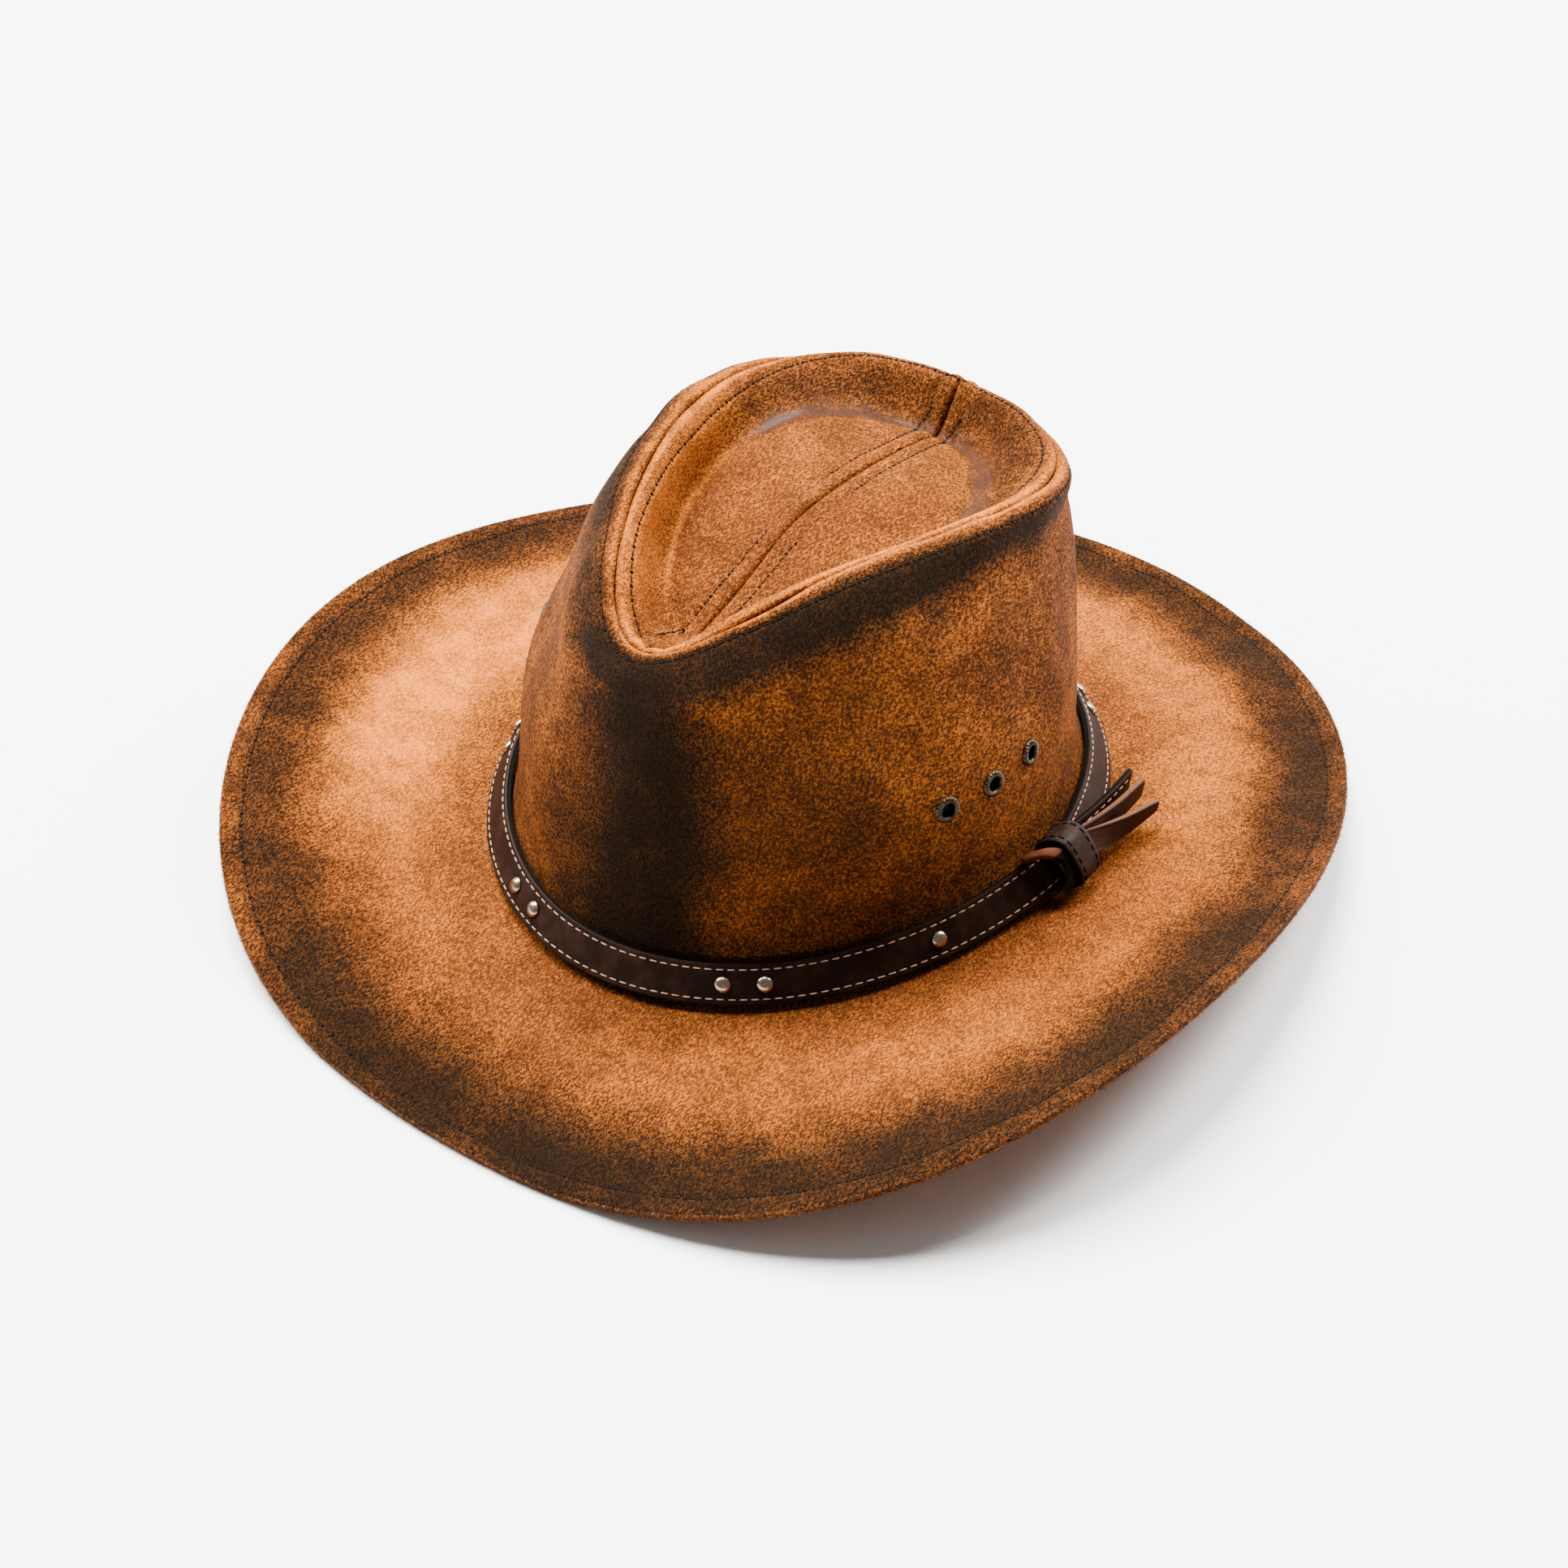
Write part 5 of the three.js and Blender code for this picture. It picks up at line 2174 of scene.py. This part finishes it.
@dataclass
class Eyelets:
    """The air holes in the side of the crown."""

    form: HatForm
    radius: float = 4.2
    hole: float = 2.2
    lip: float = 1.1
    ribs: int = 22

    def model(self) -> Piece:
        """Models one eyelet: a ribbed flange, a barrel and a flange inside, in mm."""
        profile = (
            (self.hole, -2.2), (self.hole, 0.4), (self.hole + 0.12, 0.8), (self.hole + 0.5, self.lip),
            (self.hole + 0.95, self.lip), (self.hole + 1.25, self.lip * 0.86),
            (self.radius - 0.35, self.lip * 0.55), (self.radius - 0.05, 0.28), (self.radius, 0.1),
            (self.radius - 0.3, 0.02), (self.hole + 0.6, 0.02), (self.hole + 0.6, -2.3),
            (self.radius, -2.5), (self.radius, -2.95), (self.hole, -2.95),
        )
        segments = self.ribs * 4
        turn = full_turn(segments)
        radius = np.array([row[0] for row in profile])[:, None] + 0 * turn
        height = np.array([row[1] for row in profile])[:, None] + 0 * turn
        ribbed = bell(radius, self.hole + 1.35, 0.75) * (height > 0.3)
        height = height + 0.26 * ribbed * np.cos(self.ribs * turn)
        lines = np.stack([radius * np.cos(turn), radius * np.sin(turn), height], axis=-1)
        return lay_grid("eyelet_model", tube_closed(lines) / MM, gap=0.002)

    def build(self, finishes: Finishes) -> None:
        """Sets an eyelet in each hole."""
        model = self.model()
        for side in Side:
            for number, degrees in enumerate(EYELET_ANGLES, start=1):
                frame = eyelet_frame(self.form, side.value * math.radians(degrees))
                label = f"{side.name.lower()}_{number}"
                piece = set_copies("air_hole_" + label, model, frame[None])
                dress(piece, finishes.brass, "eyelet_brass", "eyelet_" + label)
        discard(model)


# The studio


@dataclass(frozen=True)
class StudioLight:
    """A soft rectangular light, placed around the hat."""

    name: str
    azimuth: float
    elevation: float
    distance: float
    width: float
    height: float
    power: float
    colour: Colour = (1.0, 0.97, 0.93)

    def build(self) -> None:
        """Adds the light, aimed at the hat."""
        lamp = bpy.data.lights.new(self.name, "AREA")
        lamp.shape = "RECTANGLE"
        lamp.size, lamp.size_y = self.width, self.height
        lamp.energy = self.power
        lamp.color = self.colour
        item = add_object(self.name, lamp)
        way = bearing(self.azimuth, self.elevation)
        item.location = HAT_MIDDLE + way * self.distance
        item.rotation_euler = way.to_track_quat("Z", "Y").to_euler()


@dataclass(frozen=True)
class PhotoCamera:
    """The camera at the photograph's viewing angle."""

    target: tuple[float, float, float] = (0.00974, -0.02353, 0.03622)
    distance: float = 1.12207
    azimuth: float = 41.471
    elevation: float = 39.158
    roll: float = -2.604
    lens: float = 82.763
    sensor: float = 36.0

    def build(self) -> None:
        """Adds the camera and makes it the scene's own."""
        turn, roll = math.radians(self.azimuth), math.radians(self.roll)
        back = bearing(self.azimuth, self.elevation)
        level = Vector((math.cos(turn), math.sin(turn), 0))
        upright = back.cross(level)
        right = level * math.cos(roll) + upright * math.sin(roll)
        up = back.cross(right)
        camera = bpy.data.cameras.new("photo_camera")
        camera.lens = self.lens
        camera.sensor_width = self.sensor
        camera.sensor_fit = "HORIZONTAL"
        item = add_object("photo_camera", camera)
        matrix = Matrix((right, up, back)).transposed().to_4x4()
        matrix.translation = Vector(self.target) + back * self.distance
        item.matrix_world = matrix
        bpy.context.scene.camera = item


@dataclass(frozen=True)
class SkyLight:
    """A wide soft light from far above, which lights the floor evenly."""

    azimuth: float = 235.0
    elevation: float = 60.0
    spread: float = 36.0
    strength: float = 21.0

    def build(self) -> None:
        """Adds the light."""
        lamp = bpy.data.lights.new("sky_light", "SUN")
        lamp.energy = self.strength
        lamp.angle = math.radians(self.spread)
        item = add_object("sky_light", lamp)
        way = bearing(self.azimuth, self.elevation)
        item.location = way
        item.rotation_euler = way.to_track_quat("Z", "Y").to_euler()


STUDIO_LIGHTS = (
    StudioLight("left_light", -75, 38, 1.5, 0.5, 1.0, 60),
    StudioLight("right_light", 160, 42, 1.5, 0.5, 1.0, 70),
)


@dataclass
class Studio:
    """The pale floor, the soft lights and the camera."""

    floor_size: float = 40.0
    floor_colours: tuple[Colour, Colour] = ((0.86, 0.86, 0.86), (0.9, 0.9, 0.89))
    floor_roughness: float = 0.85
    air_colour: Colour = (1.0, 0.99, 0.98)
    air_strength: float = 0.28

    def build(self) -> None:
        """Sets up the studio."""
        deselect()
        bpy.ops.mesh.primitive_plane_add(size=self.floor_size)
        floor = bpy.context.object
        floor.name = "studio_floor"
        bpy.ops.object.mode_set(mode="EDIT")
        bpy.ops.mesh.subdivide(number_cuts=4)
        bpy.ops.object.mode_set(mode="OBJECT")
        material, graph = new_material("Pale floor")
        tone = graph.noise(graph.place(), size=900)
        graph.finish({
            "Base Color": graph.blend(graph.step(tone, 0.3, 0.7), *self.floor_colours),
            "Roughness": self.floor_roughness,
        })
        floor.data.materials.append(material)
        world = bpy.data.worlds.new("Studio air")
        world.use_nodes = True
        air = world.node_tree.nodes["Background"]
        air.inputs["Color"].default_value = (*self.air_colour, 1)
        air.inputs["Strength"].default_value = self.air_strength
        bpy.context.scene.world = world
        SkyLight().build()
        for light in STUDIO_LIGHTS:
            light.build()
        PhotoCamera().build()


def main() -> None:
    """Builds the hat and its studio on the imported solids."""
    logging.basicConfig(level=logging.INFO, format="%(message)s")
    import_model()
    Studio().build()
    form = HatForm()
    finishes = make_finishes()
    crown = Crown(form)
    crown.side(finishes.suede)
    for side in Side:
        crown.top(side, finishes.suede)
    crown.stitches(finishes)
    brim = Brim(form)
    brim.build(finishes.suede)
    brim.stitches(finishes)
    brim.fuzz(finishes)
    band = HatBand(form)
    band.build(finishes)
    band.stitches(finishes)
    Keeper(form).build(finishes)
    StrapEnds(form).build(finishes)
    Rivets(form).build(finishes)
    Eyelets(form).build(finishes)


if __name__ == "__main__":
    main()
